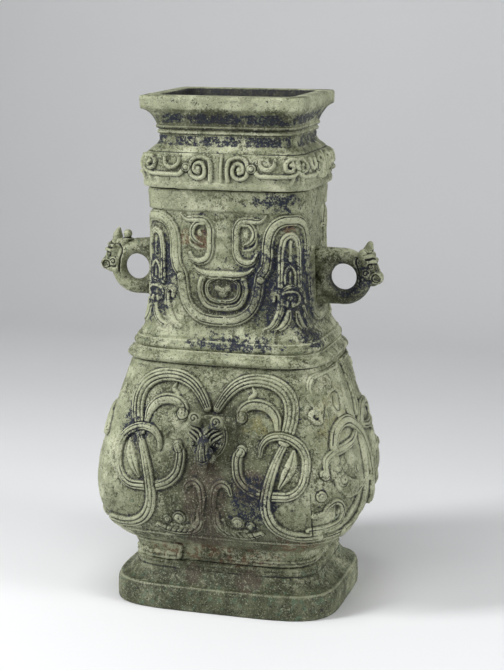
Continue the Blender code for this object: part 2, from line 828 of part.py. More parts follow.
def carve_belly(carving, skin, low, high):
    """Serpents and small beasts on the belly, plainer on the back and on the left side."""

    def at(face, path, side=1):
        return laid(BELLY_SHEET, face, path, low, high, side)

    for face in (FRONT, BACK):
        for side in (1, -1):
            carving.band(skin, at(face, SERPENT_ARCH, side), SERPENT_WIDTH, SERPENT_RISE)
            carving.band(skin, at(face, SERPENT_TAIL, side), SERPENT_WIDTH, SERPENT_RISE)
            carving.band(skin, at(face, INNER_BEND, side), SERPENT_FINE_WIDTH, SERPENT_RISE)
            if face == BACK:
                continue
            carving.band(skin, at(face, SERPENT_LOOP, side), SERPENT_FINE_WIDTH, SERPENT_RISE)
            carving.band(skin, at(face, TRUNK, side), SERPENT_FINE_WIDTH, SMALL_RISE)
            carving.band(skin, at(face, SMALL_BEAST, side), SMALL_BAND_WIDTH, SMALL_RISE)
            carving.boss(skin, at(face, (SMALL_BEAST_BOSS,), side)[0], SMALL_BOSS_RADIUS, SMALL_BOSS_RISE)
    for face in (RIGHT, LEFT):
        for side in (1, -1):
            carving.band(skin, at(face, SIDE_ARCH, side), SERPENT_FINE_WIDTH, SERPENT_RISE)
            eyes = SIDE_EYES if face == RIGHT else SIDE_EYES[:1]
            for eye in eyes:
                carving.boss(skin, at(face, (eye,), side)[0], SMALL_BOSS_RADIUS, SMALL_BOSS_RISE)
            if face == RIGHT:
                for path in (SIDE_TAIL, SIDE_BAR, SIDE_SNOUT):
                    carving.band(skin, at(face, path, side), SMALL_BAND_WIDTH, SMALL_RISE)


def carve_lid(carving, skin, low, high):
    """Spirals and little beasts round the shoulder of the lid, plainer on the back and on the left side."""

    def at(face, path, side=1):
        return laid(LID_SHEET, face, path, low, high, side)

    bar = tuple((0.0, up) for up in LID_BAR_ENDS)
    for face in (FRONT, RIGHT, BACK, LEFT):
        long_face = face in (FRONT, BACK)
        spiral, beast = (LID_SPIRAL, LID_BEAST) if long_face else (LID_SIDE_SPIRAL, LID_SIDE_BEAST)
        carving.band(skin, at(face, bar), LID_BAND_WIDTH, LID_RISE)
        for side in (1, -1):
            carving.band(skin, at(face, spiral, side), LID_BAND_WIDTH, LID_RISE)
            if face in (FRONT, RIGHT):
                carving.band(skin, at(face, beast, side), LID_BAND_WIDTH, LID_RISE)
            if long_face:
                edge = [(face + side, height) for _, height in at(face, bar)]
                carving.band(skin, edge, LID_BAND_WIDTH, LID_RISE)
            if face == FRONT:
                carving.boss(skin, at(face, (LID_BOSS,), side)[0], LID_BOSS_RADIUS, LID_RISE)


def belly_heads(carving, skin, low, high):
    """A horned head in high relief on the front of the belly, and one without horns on the back."""
    height = low + BELLY_HEAD_HEIGHT_SHARE * (high - low)
    for face in (FRONT, BACK):
        centre = skin.point(face, height)
        normal = skin.normal(face, height)
        across = skin.steps(face, height)[0].normalized()
        upward = normal.cross(across)
        horns = BELLY_HORNS if face == FRONT else ()
        for (aside, up, out), radii in (BELLY_SKULL, BELLY_MUZZLE, *horns):
            spot = centre + (across * aside + upward * up + normal * out) * BELLY_HEAD_SIZE
            carving.lump(spot, [radius * BELLY_HEAD_SIZE for radius in radii], (across, upward, normal))


def handles(carving, levels, skin):
    """A round loop with a bar against the wall and an animal head on it, on each side of the neck."""
    height = levels.neck_foot.height + HANDLE_HEIGHT_ON_NECK
    bar_back = skin.point(RIGHT, height).x - HANDLE_BAR_BITE
    hole = bar_back + HANDLE_BAR_THICKNESS + HANDLE_BAR_SETBACK + HANDLE_HOLE_RADIUS
    for side in (1, -1):
        handle_loop(carving, side, hole, height)
        handle_bar(carving, side, bar_back, height)
        for (out, along, up), radii in HANDLE_HEAD_LUMPS:
            offset = Vector((side * out, along, up)) * HANDLE_HEAD_SIZE
            centre = Vector((side * hole, 0.0, height)) + offset
            carving.lump(centre, [radius * HANDLE_HEAD_SIZE for radius in radii], Matrix.Identity(3))


def handle_loop(carving, side, hole, height):
    """The loop itself, a ring of eight-sided section round its hole."""
    middle = HANDLE_HOLE_RADIUS + HANDLE_THICKNESS / 2
    vertices = []
    for step in range(HANDLE_STEPS):
        turn = math.tau * step / HANDLE_STEPS
        for corner in range(HANDLE_SIDES):
            angle = math.tau * (corner + 0.5) / HANDLE_SIDES
            reach = middle + HANDLE_THICKNESS / 2 * math.cos(angle)
            y = HANDLE_DEPTH / 2 * math.sin(angle)
            vertices.append((side * (hole + reach * math.cos(turn)), y, height + reach * math.sin(turn)))
    faces = []
    for step in range(HANDLE_STEPS):
        low, high = step * HANDLE_SIDES, (step + 1) % HANDLE_STEPS * HANDLE_SIDES
        for corner in range(HANDLE_SIDES):
            following = (corner + 1) % HANDLE_SIDES
            faces.append((low + corner, low + following, high + following, high + corner))
    carving.keep(make_object(carving.name_of("loop"), vertices, faces))


def handle_bar(carving, side, back, height):
    """The upright bar that carries a loop against the wall."""
    front = back + HANDLE_BAR_THICKNESS
    half_depth = HANDLE_BAR_DEPTH / 2
    half_height = HANDLE_BAR_HEIGHT / 2
    profile = (
        (back, -half_height),
        (front - HANDLE_BAR_BEVEL, -half_height),
        (front, -half_height + HANDLE_BAR_BEVEL),
        (front, half_height - HANDLE_BAR_BEVEL),
        (front - HANDLE_BAR_BEVEL, half_height),
        (back, half_height),
    )
    vertices = []
    for y in (-half_depth, half_depth):
        vertices += [(side * x, y, height + z) for x, z in profile]
    count = len(profile)
    faces = [tuple(range(count)), tuple(count + index for index in range(count))]
    for index in range(count):
        following = (index + 1) % count
        faces.append((index, following, count + following, count + index))
    carving.keep(make_object(carving.name_of("bar"), vertices, faces))


def build_vessel(levels):
    """The vessel: foot, belly, neck and handles in one casting."""
    rings = vessel_rings(levels)
    skin = Skin(rings)
    vessel = stack_of("vessel", rings, bronze("vessel_bronze"))
    cast_on = Carving("vessel_relief")
    carve_neck(cast_on, skin, levels.neck_foot.height, levels.neck_top.height)
    carve_belly(cast_on, skin, levels.foot_neck.height, levels.shoulder.height)
    belly_heads(cast_on, skin, levels.foot_neck.height, levels.shoulder.height)
    handles(cast_on, levels, skin)
    cast_on.join_to(vessel)
    cut(vessel, stack_of("vessel_cavity", cavity_rings(levels), None))
    cut(vessel, stack_of("foot_recess", recess_rings(levels), None))
    return vessel


def build_lid(levels):
    """The lid: flange, carved shoulder, tongue and open crown in one casting."""
    rings = lid_rings(levels)
    lid = stack_of("lid", rings, bronze("lid_bronze"))
    cast_on = Carving("lid_relief")
    low, high = (levels.lid_seat.height + share * LID_SHOULDER_HEIGHT for share in LID_RELIEF_SPAN)
    carve_lid(cast_on, Skin(rings), low, high)
    cast_on.keep(stack_of(cast_on.name_of("tongue"), lid_tongue_rings(levels), None))
    cast_on.join_to(lid)
    cut(lid, stack_of("lid_hollow", lid_hollow_rings(levels), None))
    cut(lid, stack_of("crown_dish", crown_dish_rings(levels), None))
    return lid


def main():
    """Builds both castings, the lid in its place on the mouth."""
    clear_scene()
    levels = Levels()
    build_vessel(levels)
    build_lid(levels)


main()
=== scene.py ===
"""The looks of a square hu of cast bronze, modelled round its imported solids.

The vessel is dressed as its foot, four belly panels that meet at the corners, its neck, two handles, the
heads on the belly and the warts of corrosion. The lid is one casting with its thread mouldings. Drawings
are in millimetres, laid out on a wall by the distance from the middle of a face and by the height above the
ground. Meshes are in metres, +Z up, with the front towards -Y and the handles on -X and +X.
"""

from __future__ import annotations

import json
import logging
import math
from collections.abc import Sequence
from dataclasses import astuple, dataclass, field, replace
from enum import Enum

import bmesh
import bpy
import numpy as np
from mathutils import Matrix, Vector

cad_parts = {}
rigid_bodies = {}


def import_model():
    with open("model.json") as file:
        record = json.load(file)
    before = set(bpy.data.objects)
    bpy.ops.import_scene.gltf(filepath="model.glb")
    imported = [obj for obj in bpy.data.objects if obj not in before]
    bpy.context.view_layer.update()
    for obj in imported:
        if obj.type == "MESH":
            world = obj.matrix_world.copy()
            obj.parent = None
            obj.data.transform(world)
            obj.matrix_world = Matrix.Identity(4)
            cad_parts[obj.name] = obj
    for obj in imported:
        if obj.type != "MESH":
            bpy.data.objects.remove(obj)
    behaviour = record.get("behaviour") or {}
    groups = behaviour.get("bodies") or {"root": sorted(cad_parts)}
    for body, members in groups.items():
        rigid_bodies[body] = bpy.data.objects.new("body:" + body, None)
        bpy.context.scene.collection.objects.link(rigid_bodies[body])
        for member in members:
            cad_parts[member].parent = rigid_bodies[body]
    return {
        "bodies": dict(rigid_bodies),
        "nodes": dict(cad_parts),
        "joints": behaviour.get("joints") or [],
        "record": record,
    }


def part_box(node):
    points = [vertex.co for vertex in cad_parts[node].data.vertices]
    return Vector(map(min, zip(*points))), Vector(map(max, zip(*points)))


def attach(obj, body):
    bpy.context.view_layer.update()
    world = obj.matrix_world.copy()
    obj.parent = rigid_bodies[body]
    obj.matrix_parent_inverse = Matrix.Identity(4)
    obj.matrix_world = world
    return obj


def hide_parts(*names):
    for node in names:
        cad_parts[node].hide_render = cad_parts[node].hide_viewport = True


LOG = logging.getLogger("square_hu")
# A millimetre in metres.
MM = 0.001
# How far apart the samples of a drawn path are, in millimetres.
PATH_STEP = 0.7
# How many places are measured against a path at a time, to save memory.
BLOCK = 6000
# A full turn round a wall, with two places to each face.
TURN = 8.0

Path = Sequence[tuple[float, float]]
Spot = tuple[float, float, float]
Colour = tuple[float, float, float, float]


class Face(float, Enum):
    """The middles of the four faces, as places round the wall where odd numbers are the corners."""

    FRONT = 0.0
    RIGHT = 2.0
    BACK = 4.0
    LEFT = 6.0


class Layer(Enum):
    """How a stroke meets the carving that is already there."""

    JOINED = "grows together with it"
    OVER = "passes over it with a gap on both sides"
    CUT = "is only cut into it"


def eased(value: np.ndarray) -> np.ndarray:
    """A smooth ramp from 0 to 1 while the value goes from 0 to 1."""
    part = np.clip(value, 0.0, 1.0)
    return part * part * (3.0 - 2.0 * part)


def soft_mark(distance: np.ndarray, half_width: float | np.ndarray) -> np.ndarray:
    """A mark that is 1 at distance 0 and fades over a half width."""
    return np.exp(-((distance / half_width) ** 2))


def smooth_curve(points: Sequence, step: float, closed: bool = False) -> np.ndarray:
    """Samples a smooth curve through points of any dimension.

    Args:
        points: The points that the curve passes through.
        step: The distance between samples.
        closed: Whether the curve comes back to its first point.

    Returns:
        The samples, one to a row.
    """
    stops = np.asarray(points, dtype=float)
    if closed:
        stops = np.vstack([stops[-2:], stops, stops[:3]])
    knots = np.r_[0.0, np.cumsum(np.linalg.norm(np.diff(stops, axis=0), axis=1))]
    slopes = np.gradient(stops, knots, axis=0)
    first, last = (knots[2], knots[-3]) if closed else (knots[0], knots[-1])
    places = np.linspace(first, last, max(3, int(round((last - first) / step)) + 1))
    index = np.clip(np.searchsorted(knots, places, side="right") - 1, 0, len(knots) - 2)
    span = (knots[index + 1] - knots[index])[:, None]
    u = (places - knots[index])[:, None] / span
    return (
        stops[index] * (2 * u**3 - 3 * u**2 + 1)
        + slopes[index] * span * (u**3 - 2 * u**2 + u)
        + stops[index + 1] * (3 * u**2 - 2 * u**3)
        + slopes[index + 1] * span * (u**3 - u**2)
    )


def measure(places: np.ndarray, path: np.ndarray) -> tuple[np.ndarray, ...]:
    """Measures places against a finely sampled path.

    Args:
        places: The places, as rows of two numbers.
        path: The path's samples.

    Returns:
        The distance to the path, the length along it, the distance to its left, and whether a place
        lies past one of its ends.
    """
    runs = np.r_[0.0, np.cumsum(np.linalg.norm(np.diff(path, axis=0), axis=1))]
    tangents = np.gradient(path, axis=0)
    tangents /= np.linalg.norm(tangents, axis=1)[:, None]
    squares = (path**2).sum(axis=1)
    nearest = np.empty(len(places), dtype=int)
    for start in range(0, len(places), BLOCK):
        part = places[start : start + BLOCK]
        nearest[start : start + BLOCK] = (squares - 2.0 * part @ path.T).argmin(axis=1)
    offset = places - path[nearest]
    tangent = tangents[nearest]
    ahead = (offset * tangent).sum(axis=1)
    aside = tangent[:, 0] * offset[:, 1] - tangent[:, 1] * offset[:, 0]
    past = ((nearest == 0) & (ahead < 0)) | ((nearest == len(path) - 1) & (ahead > 0))
    distance = np.where(past, np.linalg.norm(offset, axis=1), np.abs(aside))
    return distance, np.clip(runs[nearest] + ahead, 0.0, runs[-1]), aside, past


class Weather:
    """Seeded noise in space, so that pieces that meet wear alike where they meet."""

    SIDE = 32

    def __init__(self, seed: int) -> None:
        """Fills the lattice of random numbers."""
        self.lattice = np.random.default_rng(seed).uniform(-1.0, 1.0, (self.SIDE,) * 3)

    def at(self, points: np.ndarray, size: float) -> np.ndarray:
        """Reads smooth noise at some points.

        Args:
            points: The points, with three numbers along the last axis.
            size: How wide a lump of the noise is, in the points' unit.

        Returns:
            Values from -1 to 1, one to a point.
        """
        place = points / size + self.SIDE * 4
        base = np.floor(place).astype(int)
        part = eased(place - base)
        total = np.zeros(points.shape[:-1])
        for corner in np.ndindex(2, 2, 2):
            weight = np.prod(np.where(corner, part, 1.0 - part), axis=-1)
            index = (base + corner) % self.SIDE
            total += weight * self.lattice[index[..., 0], index[..., 1], index[..., 2]]
        return total


@dataclass(frozen=True)
class Level:
    """One level of a wall: its height, its half sizes and how square its rounded outline is."""

    height: float
    half_width: float
    half_depth: float
    squareness: float


Run = tuple[tuple[Level, ...], float]


def wall_rows(runs: Sequence[Run]) -> np.ndarray:
    """Samples a wall's profile, smooth inside each run and free to turn sharply where two runs meet.

    Args:
        runs: For each run, its levels and the distance between rows. A run that follows another one starts
            at the last level of that one.

    Returns:
        The rows, each a height, a half width, a half depth and a squareness.
    """
    rows: list[np.ndarray] = []
    joint: tuple[Level, ...] = ()
    for levels, step in runs:
        sampled = smooth_curve([astuple(level) for level in joint + levels], step)
        rows.append(sampled[1:] if rows else sampled)
        joint = levels[-1:]
    return np.vstack(rows)


def shares_round(counts: Sequence[int]) -> np.ndarray:
    """Places round the wall from the middle of the front, with a number of columns for each half face."""
    parts = [index + np.arange(count) / count for index, count in enumerate(counts)]
    return np.concatenate(parts)


class Chart:
    """A grid of points on a bare wall, with the distances that the carving is drawn with."""

    SAMPLES = 120

    def __init__(self, rows: np.ndarray, shares: np.ndarray, closed: bool) -> None:
        """Lays out the grid.

        Args:
            rows: The wall's rows, from wall_rows.
            shares: The places of the columns round the wall.
            closed: Whether the columns go all the way round.
        """
        self.height = rows[:, 0]
        self.points = np.empty((len(rows), len(shares), 3))
        self.around = np.empty((len(rows), len(shares)))
        self.quarter = np.empty(len(rows))
        side = shares % 4.0
        folded = np.where(side <= 2.0, side, 4.0 - side)
        flip_y = np.where(side > 2.0, -1.0, 1.0)
        flip = np.where(shares % TURN >= 4.0, -1.0, 1.0)
        turn = np.linspace(-math.pi / 2, 0.0, 2 * self.SAMPLES + 1)
        cosine, sine = np.abs(np.cos(turn)), np.abs(np.sin(turn))
        for index, (height, half_width, half_depth, power) in enumerate(rows):
            reach = (cosine**power + sine**power) ** (-1.0 / power)
            x, y = half_width * reach * cosine, -half_depth * reach * sine
            run = np.r_[0.0, np.cumsum(np.hypot(np.diff(x), np.diff(y)))]
            lengths = np.interp(folded, (0.0, 1.0, 2.0), (0.0, run[self.SAMPLES], run[-1]))
            self.points[index, :, 0] = np.interp(lengths, run, x) * flip
            self.points[index, :, 1] = np.interp(lengths, run, y) * flip_y * flip
            self.points[index, :, 2] = height
            quarter = run[-1]
            whole = np.floor(shares / 4.0) * 2.0 * quarter
            self.around[index] = whole + np.where(side <= 2.0, lengths, 2.0 * quarter - lengths)
            self.quarter[index] = quarter
        steps = np.hypot(np.diff(rows[:, 0]), np.diff(rows[:, 1:3].mean(axis=1)))
        self.rise = np.r_[0.0, np.cumsum(steps)]
        self.normals = self.grid_normals(self.points, closed)

    @staticmethod
    def grid_normals(points: np.ndarray, closed: bool) -> np.ndarray:
        """Finds the outward normals of a grid of points.

        Args:
            points: The grid.
            closed: Whether its columns go all the way round.

        Returns:
            A normal for each point.
        """
        if closed:
            across = np.roll(points, -1, axis=1) - np.roll(points, 1, axis=1)
        else:
            across = np.gradient(points, axis=1)
        normals = np.cross(across, np.gradient(points, axis=0))
        return normals / np.maximum(np.linalg.norm(normals, axis=2, keepdims=True), 1e-9)

    def across(self, face: Face) -> np.ndarray:
        """Measures the signed distance round the wall from the middle of a face.

        Args:
            face: The face.

        Returns:
            The distance for every point.
        """
        whole = 4.0 * self.quarter[:, None]
        distance = self.around - face.value / 2.0 * self.quarter[:, None]
        return (distance + whole / 2.0) % whole - whole / 2.0

    def up(self, height: float | np.ndarray) -> float | np.ndarray:
        """The distance up the wall at a height."""
        return np.interp(height, self.height, self.rise)


@dataclass(frozen=True)
class Stroke:
    """A raised band along a drawn path, or a line cut along it.

    The lines are incised ones, each a share of the half width, on the band's left where positive. The
    taper holds shares of the width along the path.
    """

    path: Path
    width: float
    rise: float = 0.0
    lines: tuple[float, ...] = ()
    taper: tuple[float, ...] = (1.0,)
    layer: Layer = Layer.JOINED
    dome: float = 0.35
    edge: float = 1.7


@dataclass(frozen=True)
class Boss:
    """A low dome, with a ring cut round its eye where it has one."""

    place: tuple[float, float]
    radius: float
    rise: float
    ring: float = 0.0
    pupil: float = 0.0
    stretch: float = 1.0


class Canvas:
    """The carving of a wall: how far it stands out, and where its incised lines run.

    A rim is a dark line painted beside a bold band, as the shade at its foot, and a moat the groove round an
    eye. Their places are the distance from the edge and the half width.
    """

    LINE_HALF = 0.78
    LINE_DEPTH = 1.25
    GAP = 1.5
    BOLD_RISE = 2.5
    SOFT_EDGE = 2.5
    RIM = (0.5, 0.6)
    RIM_MARK = 0.5
    RIM_TOP = 0.6
    MOAT = (0.3, 0.7)
    MOAT_DEPTH = 0.8
    BOSS_MARGIN = 2.0
    HOLLOWS = ((3, 0.38), (9, 0.13))

    def __init__(self, chart: Chart) -> None:
        """Starts with a bare wall.

        Args:
            chart: The wall's chart.
        """
        self.chart = chart
        self.relief = np.zeros(chart.around.shape)
        self.lines = np.zeros(chart.around.shape)
        self.across = {face: chart.across(face) for face in Face}
        self.up = np.broadcast_to(chart.rise[:, None], chart.around.shape)

    def window(self, face: Face, side: int, low: np.ndarray, high: np.ndarray) -> tuple[np.ndarray, ...]:
        """Finds the grid's points inside a drawn box.

        Args:
            face: The face that the drawing is centred on.
            side: 1, or -1 for its mirror image.
            low: The box's lowest corner.
            high: Its highest corner.

        Returns:
            The points' indices, and their places as rows of two numbers.
        """
        across = self.across[face] * side
        inside = (across > low[0]) & (across < high[0]) & (self.up > low[1]) & (self.up < high[1])
        index = np.flatnonzero(inside)
        return index, np.c_[across.ravel()[index], self.up.ravel()[index]]

    def draw(self, face: Face, stroke: Stroke, side: int = 1) -> None:
        """Lays one stroke on the wall.

        Args:
            face: The face that it is centred on.
            stroke: The stroke.
            side: 1, or -1 for its mirror image.
        """
        drawn = [(across, float(self.chart.up(height))) for across, height in stroke.path]
        path = smooth_curve(drawn, PATH_STEP)
        margin = stroke.width / 2.0 + self.GAP + stroke.edge
        index, places = self.window(face, side, path.min(axis=0) - margin, path.max(axis=0) + margin)
        if not len(index):
            return
        distance, along, aside, past = measure(places, path)
        near = distance < margin
        index, distance, along, aside, past = (a[near] for a in (index, distance, along, aside, past))
        length = max(float(np.linalg.norm(np.diff(path, axis=0), axis=1).sum()), 1e-6)
        stops = np.linspace(0.0, 1.0, len(stroke.taper)) if len(stroke.taper) > 1 else [0.0]
        half = stroke.width / 2.0 * np.interp(along / length, stops, stroke.taper)
        relief, lines = self.relief.reshape(-1), self.lines.reshape(-1)
        if stroke.layer is Layer.CUT:
            mark = soft_mark(distance, half)
            relief[index] -= self.LINE_DEPTH * mark
            lines[index] = np.maximum(lines[index], mark)
            return
        body = eased((half - distance) / stroke.edge + 0.5)
        lift = stroke.rise * body * (1.0 - stroke.dome * np.clip(distance / half, 0.0, 1.0) ** 2)
        mark = np.zeros(len(index))
        for share in stroke.lines:
            mark = np.maximum(mark, soft_mark(aside - share * half, self.LINE_HALF))
        mark *= body * ~past
        lift -= self.LINE_DEPTH * mark
        if stroke.layer is Layer.OVER:
            gap = eased((half + self.GAP - distance) / self.GAP) * ~past
            relief[index] *= 1.0 - gap
            lines[index] *= 1.0 - gap
        wins = lift >= relief[index]
        lines[index] = np.where(wins, mark, lines[index])
        relief[index] = np.maximum(relief[index], lift)
        # Painted shade: a dark line on the ground at the foot of a bold band, with no groove cut under it.
        if stroke.rise > self.BOLD_RISE and stroke.edge < self.SOFT_EDGE:
            out, rim_half = self.RIM
            rim = np.maximum(lines[index], self.RIM_MARK * soft_mark(distance - half - out, rim_half))
            lines[index] = np.where(relief[index] < self.RIM_TOP * stroke.rise, rim, lines[index])

    def boss(self, face: Face, boss: Boss, side: int = 1) -> None:
        """Lays one boss on the wall.

        Args:
            face: The face that it is centred on.
            boss: The boss.
            side: 1, or -1 for its mirror image.
        """
        centre = np.array([boss.place[0], float(self.chart.up(boss.place[1]))])
        reach = boss.radius * max(boss.stretch, 1.0) + self.BOSS_MARGIN
        index, places = self.window(face, side, centre - reach, centre + reach)
        if not len(index):
            return
        offset = (places - centre) / (boss.stretch, 1.0)
        distance = np.linalg.norm(offset, axis=1)
        lift = boss.rise * np.sqrt(np.clip(1.0 - (distance / boss.radius) ** 2, 0.0, 1.0))
        mark = np.zeros(len(index))
        if boss.ring:
            mark = soft_mark(distance - boss.ring * boss.radius, self.LINE_HALF)
        if boss.pupil:
            mark = np.maximum(mark, soft_mark(distance, boss.pupil))
        lift -= self.LINE_DEPTH * mark * (distance < boss.radius)
        relief, lines = self.relief.reshape(-1), self.lines.reshape(-1)
        wins = lift > relief[index]
        lines[index] = np.where(wins, mark, lines[index])
        relief[index] = np.maximum(relief[index], lift)
        if boss.ring or boss.pupil:
            out, moat_half = self.MOAT
            moat = self.MOAT_DEPTH * soft_mark(distance - boss.radius - out, moat_half)
            relief[index] -= moat
            lines[index] = np.maximum(lines[index], moat)

    def draw_all(self, face: Face, work: Sequence[Stroke | Boss], sides: Sequence[int] = (1, -1)) -> None:
        """Lays strokes and bosses in their order.

        Args:
            face: The face that they are centred on.
            work: The strokes and bosses.
            sides: 1 and -1 for both sides, or one of them.
        """
        for item in work:
            for side in sides:
                if isinstance(item, Boss):
                    self.boss(face, item, side)
                else:
                    self.draw(face, item, side)

    def girdle(self, reach: float, height: float, width: float, **look: float | Layer) -> None:
        """Lays a level stroke on every face, as far as a reach to both sides of its middle."""
        for face in Face:
            self.draw(face, Stroke(((-reach, height), (reach, height)), width, **look))

    def hollows(self, closed: bool) -> np.ndarray:
        """Finds how deep each place lies against its surroundings.

        Args:
            closed: Whether the columns go all the way round.

        Returns:
            1 in a crease, 0 on open ground and -1 on a crest.
        """
        relief = self.relief
        depth = sum(share * (blurred(relief, reach, closed) - relief) for reach, share in self.HOLLOWS)
        return np.clip(depth, -1.0, 1.0)


def blurred(values: np.ndarray, reach: int, closed: bool) -> np.ndarray:
    """Averages a grid over squares of cells.

    Args:
        values: The grid.
        reach: How many cells the average takes in on each side.
        closed: Whether the columns go all the way round.

    Returns:
        The averaged grid.
    """
    result = values
    for axis, mode in ((0, "edge"), (1, "wrap" if closed else "edge")):
        width = [(0, 0), (0, 0)]
        width[axis] = (reach + 1, reach)
        total = np.cumsum(np.pad(result, width, mode=mode), axis=axis)
        size = 2 * reach + 1
        later = np.take(total, range(size, total.shape[axis]), axis=axis)
        earlier = np.take(total, range(0, total.shape[axis] - size), axis=axis)
        result = (later - earlier) / size
    return result


class Shell:
    """Gathers rows of vertices, and the faces between them, into one closed mesh."""

    def __init__(self) -> None:
        """Starts empty."""
        self.points: list[np.ndarray] = []
        self.marks: list[np.ndarray] = []
        self.faces: list[Sequence[int]] = []
        self.seams: list[np.ndarray] = []
        self.count = 0

    def add(self, points: np.ndarray, marks: np.ndarray | float = 0.0) -> np.ndarray:
        """Adds a grid or a row of vertices.

        Args:
            points: The vertices in millimetres.
            marks: The hollow and the incised line at each, or one hollow for a plain surface; a hollow of 1
                paints the full shade of an inside or an underside.

        Returns:
            The vertices' numbers, in the grid's shape.
        """
        flat = points.reshape(-1, 3)
        self.points.append(flat)
        plain = np.tile((marks, 0.0), (len(flat), 1)) if isinstance(marks, float) else marks
        self.marks.append(plain.reshape(-1, 2))
        ids = np.arange(self.count, self.count + len(flat)).reshape(points.shape[:-1])
        self.count += len(flat)
        return ids

    def grid(self, ids: np.ndarray) -> None:
        """Fills a grid of vertices with faces that look outwards.

        Args:
            ids: The vertices' numbers.
        """
        low, high = ids[:-1], ids[1:]
        quads = np.stack([low[:, :-1], low[:, 1:], high[:, 1:], high[:, :-1]], axis=-1)
        self.faces.extend(quads.reshape(-1, 4).tolist())

    def stitch(self, lower: np.ndarray, upper: np.ndarray) -> None:
        """Joins two runs of vertices that start and end side by side, however many each has.

        Args:
            lower: The lower run's vertex numbers.
            upper: The upper run's.
        """
        i, j, last_low, last_high = 0, 0, len(lower) - 1, len(upper) - 1
        while i < last_low or j < last_high:
            if j >= last_high or (i < last_low and (i + 1) * last_high <= (j + 1) * last_low):
                self.faces.append((int(lower[i]), int(lower[i + 1]), int(upper[j])))
                i += 1
            else:
                self.faces.append((int(lower[i]), int(upper[j + 1]), int(upper[j])))
                j += 1

    def loft(self, rings: Sequence[np.ndarray]) -> None:
        """Joins closed rings of vertices one after another.

        Args:
            rings: The vertex numbers of each ring.
        """
        for lower, upper in zip(rings, rings[1:]):
            low, high = np.r_[lower, lower[0]], np.r_[upper, upper[0]]
            if len(low) == len(high):
                self.grid(np.stack([low, high]))
            else:
                self.stitch(low, high)

    def cap(self, ring: np.ndarray) -> None:
        """Closes a ring of vertices with one face."""
        self.faces.append(tuple(int(number) for number in ring))

    def build(self, name: str, material: bpy.types.Material) -> bpy.types.Object:
        """Makes the mesh object.

        Args:
            name: The piece's name.
            material: Its finish.

        Returns:
            The object, at the origin, with its place in its mesh.
        """
        marks = np.vstack(self.marks)
        item = mesh_object(name, np.vstack(self.points) * MM, self.faces, material)
        mark_surface(item.data, marks[:, 0], marks[:, 1])
        if self.seams:
            on_seam = np.zeros(self.count, dtype=bool)
            for ids in self.seams:
                on_seam[ids] = True
            ends = np.empty(2 * len(item.data.edges), dtype=np.int32)
            item.data.edges.foreach_get("vertices", ends)
            sharp = on_seam[ends.reshape(-1, 2)].all(axis=1)
            kept = item.data.attributes.new("sharp_edge", "BOOLEAN", "EDGE")
            kept.data.foreach_set("value", sharp)
        return item


def linked(name: str, data: bpy.types.ID) -> bpy.types.Object:
    """Puts a new object in the scene.

    Args:
        name: Its name.
        data: Its mesh, lamp or camera.

    Returns:
        The object.
    """
    item = bpy.data.objects.new(name, data)
    bpy.context.scene.collection.objects.link(item)
    return item


def mesh_object(
    name: str, points: np.ndarray, faces: Sequence, material: bpy.types.Material | None, edges: Sequence = ()
) -> bpy.types.Object:
    """Makes a smooth mesh object.

    Args:
        name: The object's name.
        points: Its vertices in metres.
        faces: Its faces, as lists of vertex numbers.
        material: Its finish, or nothing for a helper.
        edges: Its loose edges, as pairs of vertex numbers.

    Returns:
        The linked object.
    """
    mesh = bpy.data.meshes.new(name)
    mesh.from_pydata(points.tolist(), edges, faces)
    mesh.shade_smooth()
    if material:
        mesh.materials.append(material)
    return linked(name, mesh)


def mark_surface(mesh: bpy.types.Mesh, hollow: np.ndarray, line: np.ndarray) -> None:
    """Keeps the hollows and the incised lines on the mesh, for its finish to read.

    Args:
        mesh: The mesh.
        hollow: How deep each vertex lies.
        line: How strongly each is marked by an incised line.
    """
    for name, values in (("hollow", hollow), ("line", line)):
        layer = mesh.attributes.new(name, "FLOAT", "POINT")
        layer.data.foreach_set("value", values.astype(np.float32))


def vertex_array(mesh: bpy.types.Mesh) -> np.ndarray:
    """Reads a mesh's vertices.

    Args:
        mesh: The mesh.

    Returns:
        The vertices in metres, one to a row.
    """
    points = np.empty(3 * len(mesh.vertices))
    mesh.vertices.foreach_get("co", points)
    return points.reshape(-1, 3)


def baked_mesh(draft: bpy.types.Object) -> bpy.types.Mesh:
    """Turns an object with modifiers into a plain mesh, and removes the object.

    Args:
        draft: The object.

    Returns:
        The mesh that its modifiers make.
    """
    view = bpy.context.evaluated_depsgraph_get()
    mesh = bpy.data.meshes.new_from_object(draft.evaluated_get(view))
    source = draft.data
    bpy.data.objects.remove(draft)
    bpy.data.meshes.remove(source)
    return mesh


def vertex_normals(mesh: bpy.types.Mesh, points: np.ndarray) -> np.ndarray:
    """Moves a mesh's vertices, and reads their normals where they then are.

    Args:
        mesh: The mesh.
        points: Where the vertices go, in metres.

    Returns:
        The normals.
    """
    mesh.vertices.foreach_set("co", points.ravel())
    mesh.update()
    normals = np.empty(3 * len(mesh.vertices))
    mesh.vertex_normals.foreach_get("vector", normals)
    return normals.reshape(-1, 3)


def averaged(values: np.ndarray, ends: np.ndarray) -> np.ndarray:
    """Moves each vertex halfway to the middle of its neighbours.

    Args:
        values: The vertices' numbers, one vertex to a row.
        ends: The two ends of every edge.

    Returns:
        The moved numbers.
    """
    total = np.zeros_like(values)
    count = np.bincount(ends.ravel(), minlength=len(values))
    for first, second in ((0, 1), (1, 0)):
        for axis in range(values.shape[1]):
            part = np.bincount(ends[:, first], weights=values[ends[:, second], axis], minlength=len(values))
            total[:, axis] += part
    return 0.5 * values + 0.5 * total / np.maximum(count, 1)[:, None]


def turn_outwards(mesh: bpy.types.Mesh) -> None:
    """Flips a closed mesh whose faces look inwards.

    Args:
        mesh: The mesh.
    """
    points = vertex_array(mesh)
    mesh.calc_loop_triangles()
    corners = points[np.array([triangle.vertices[:] for triangle in mesh.loop_triangles])]
    if np.einsum("ij,ij->i", corners[:, 0], np.cross(corners[:, 1], corners[:, 2])).sum() < 0.0:
        mesh.flip_normals()


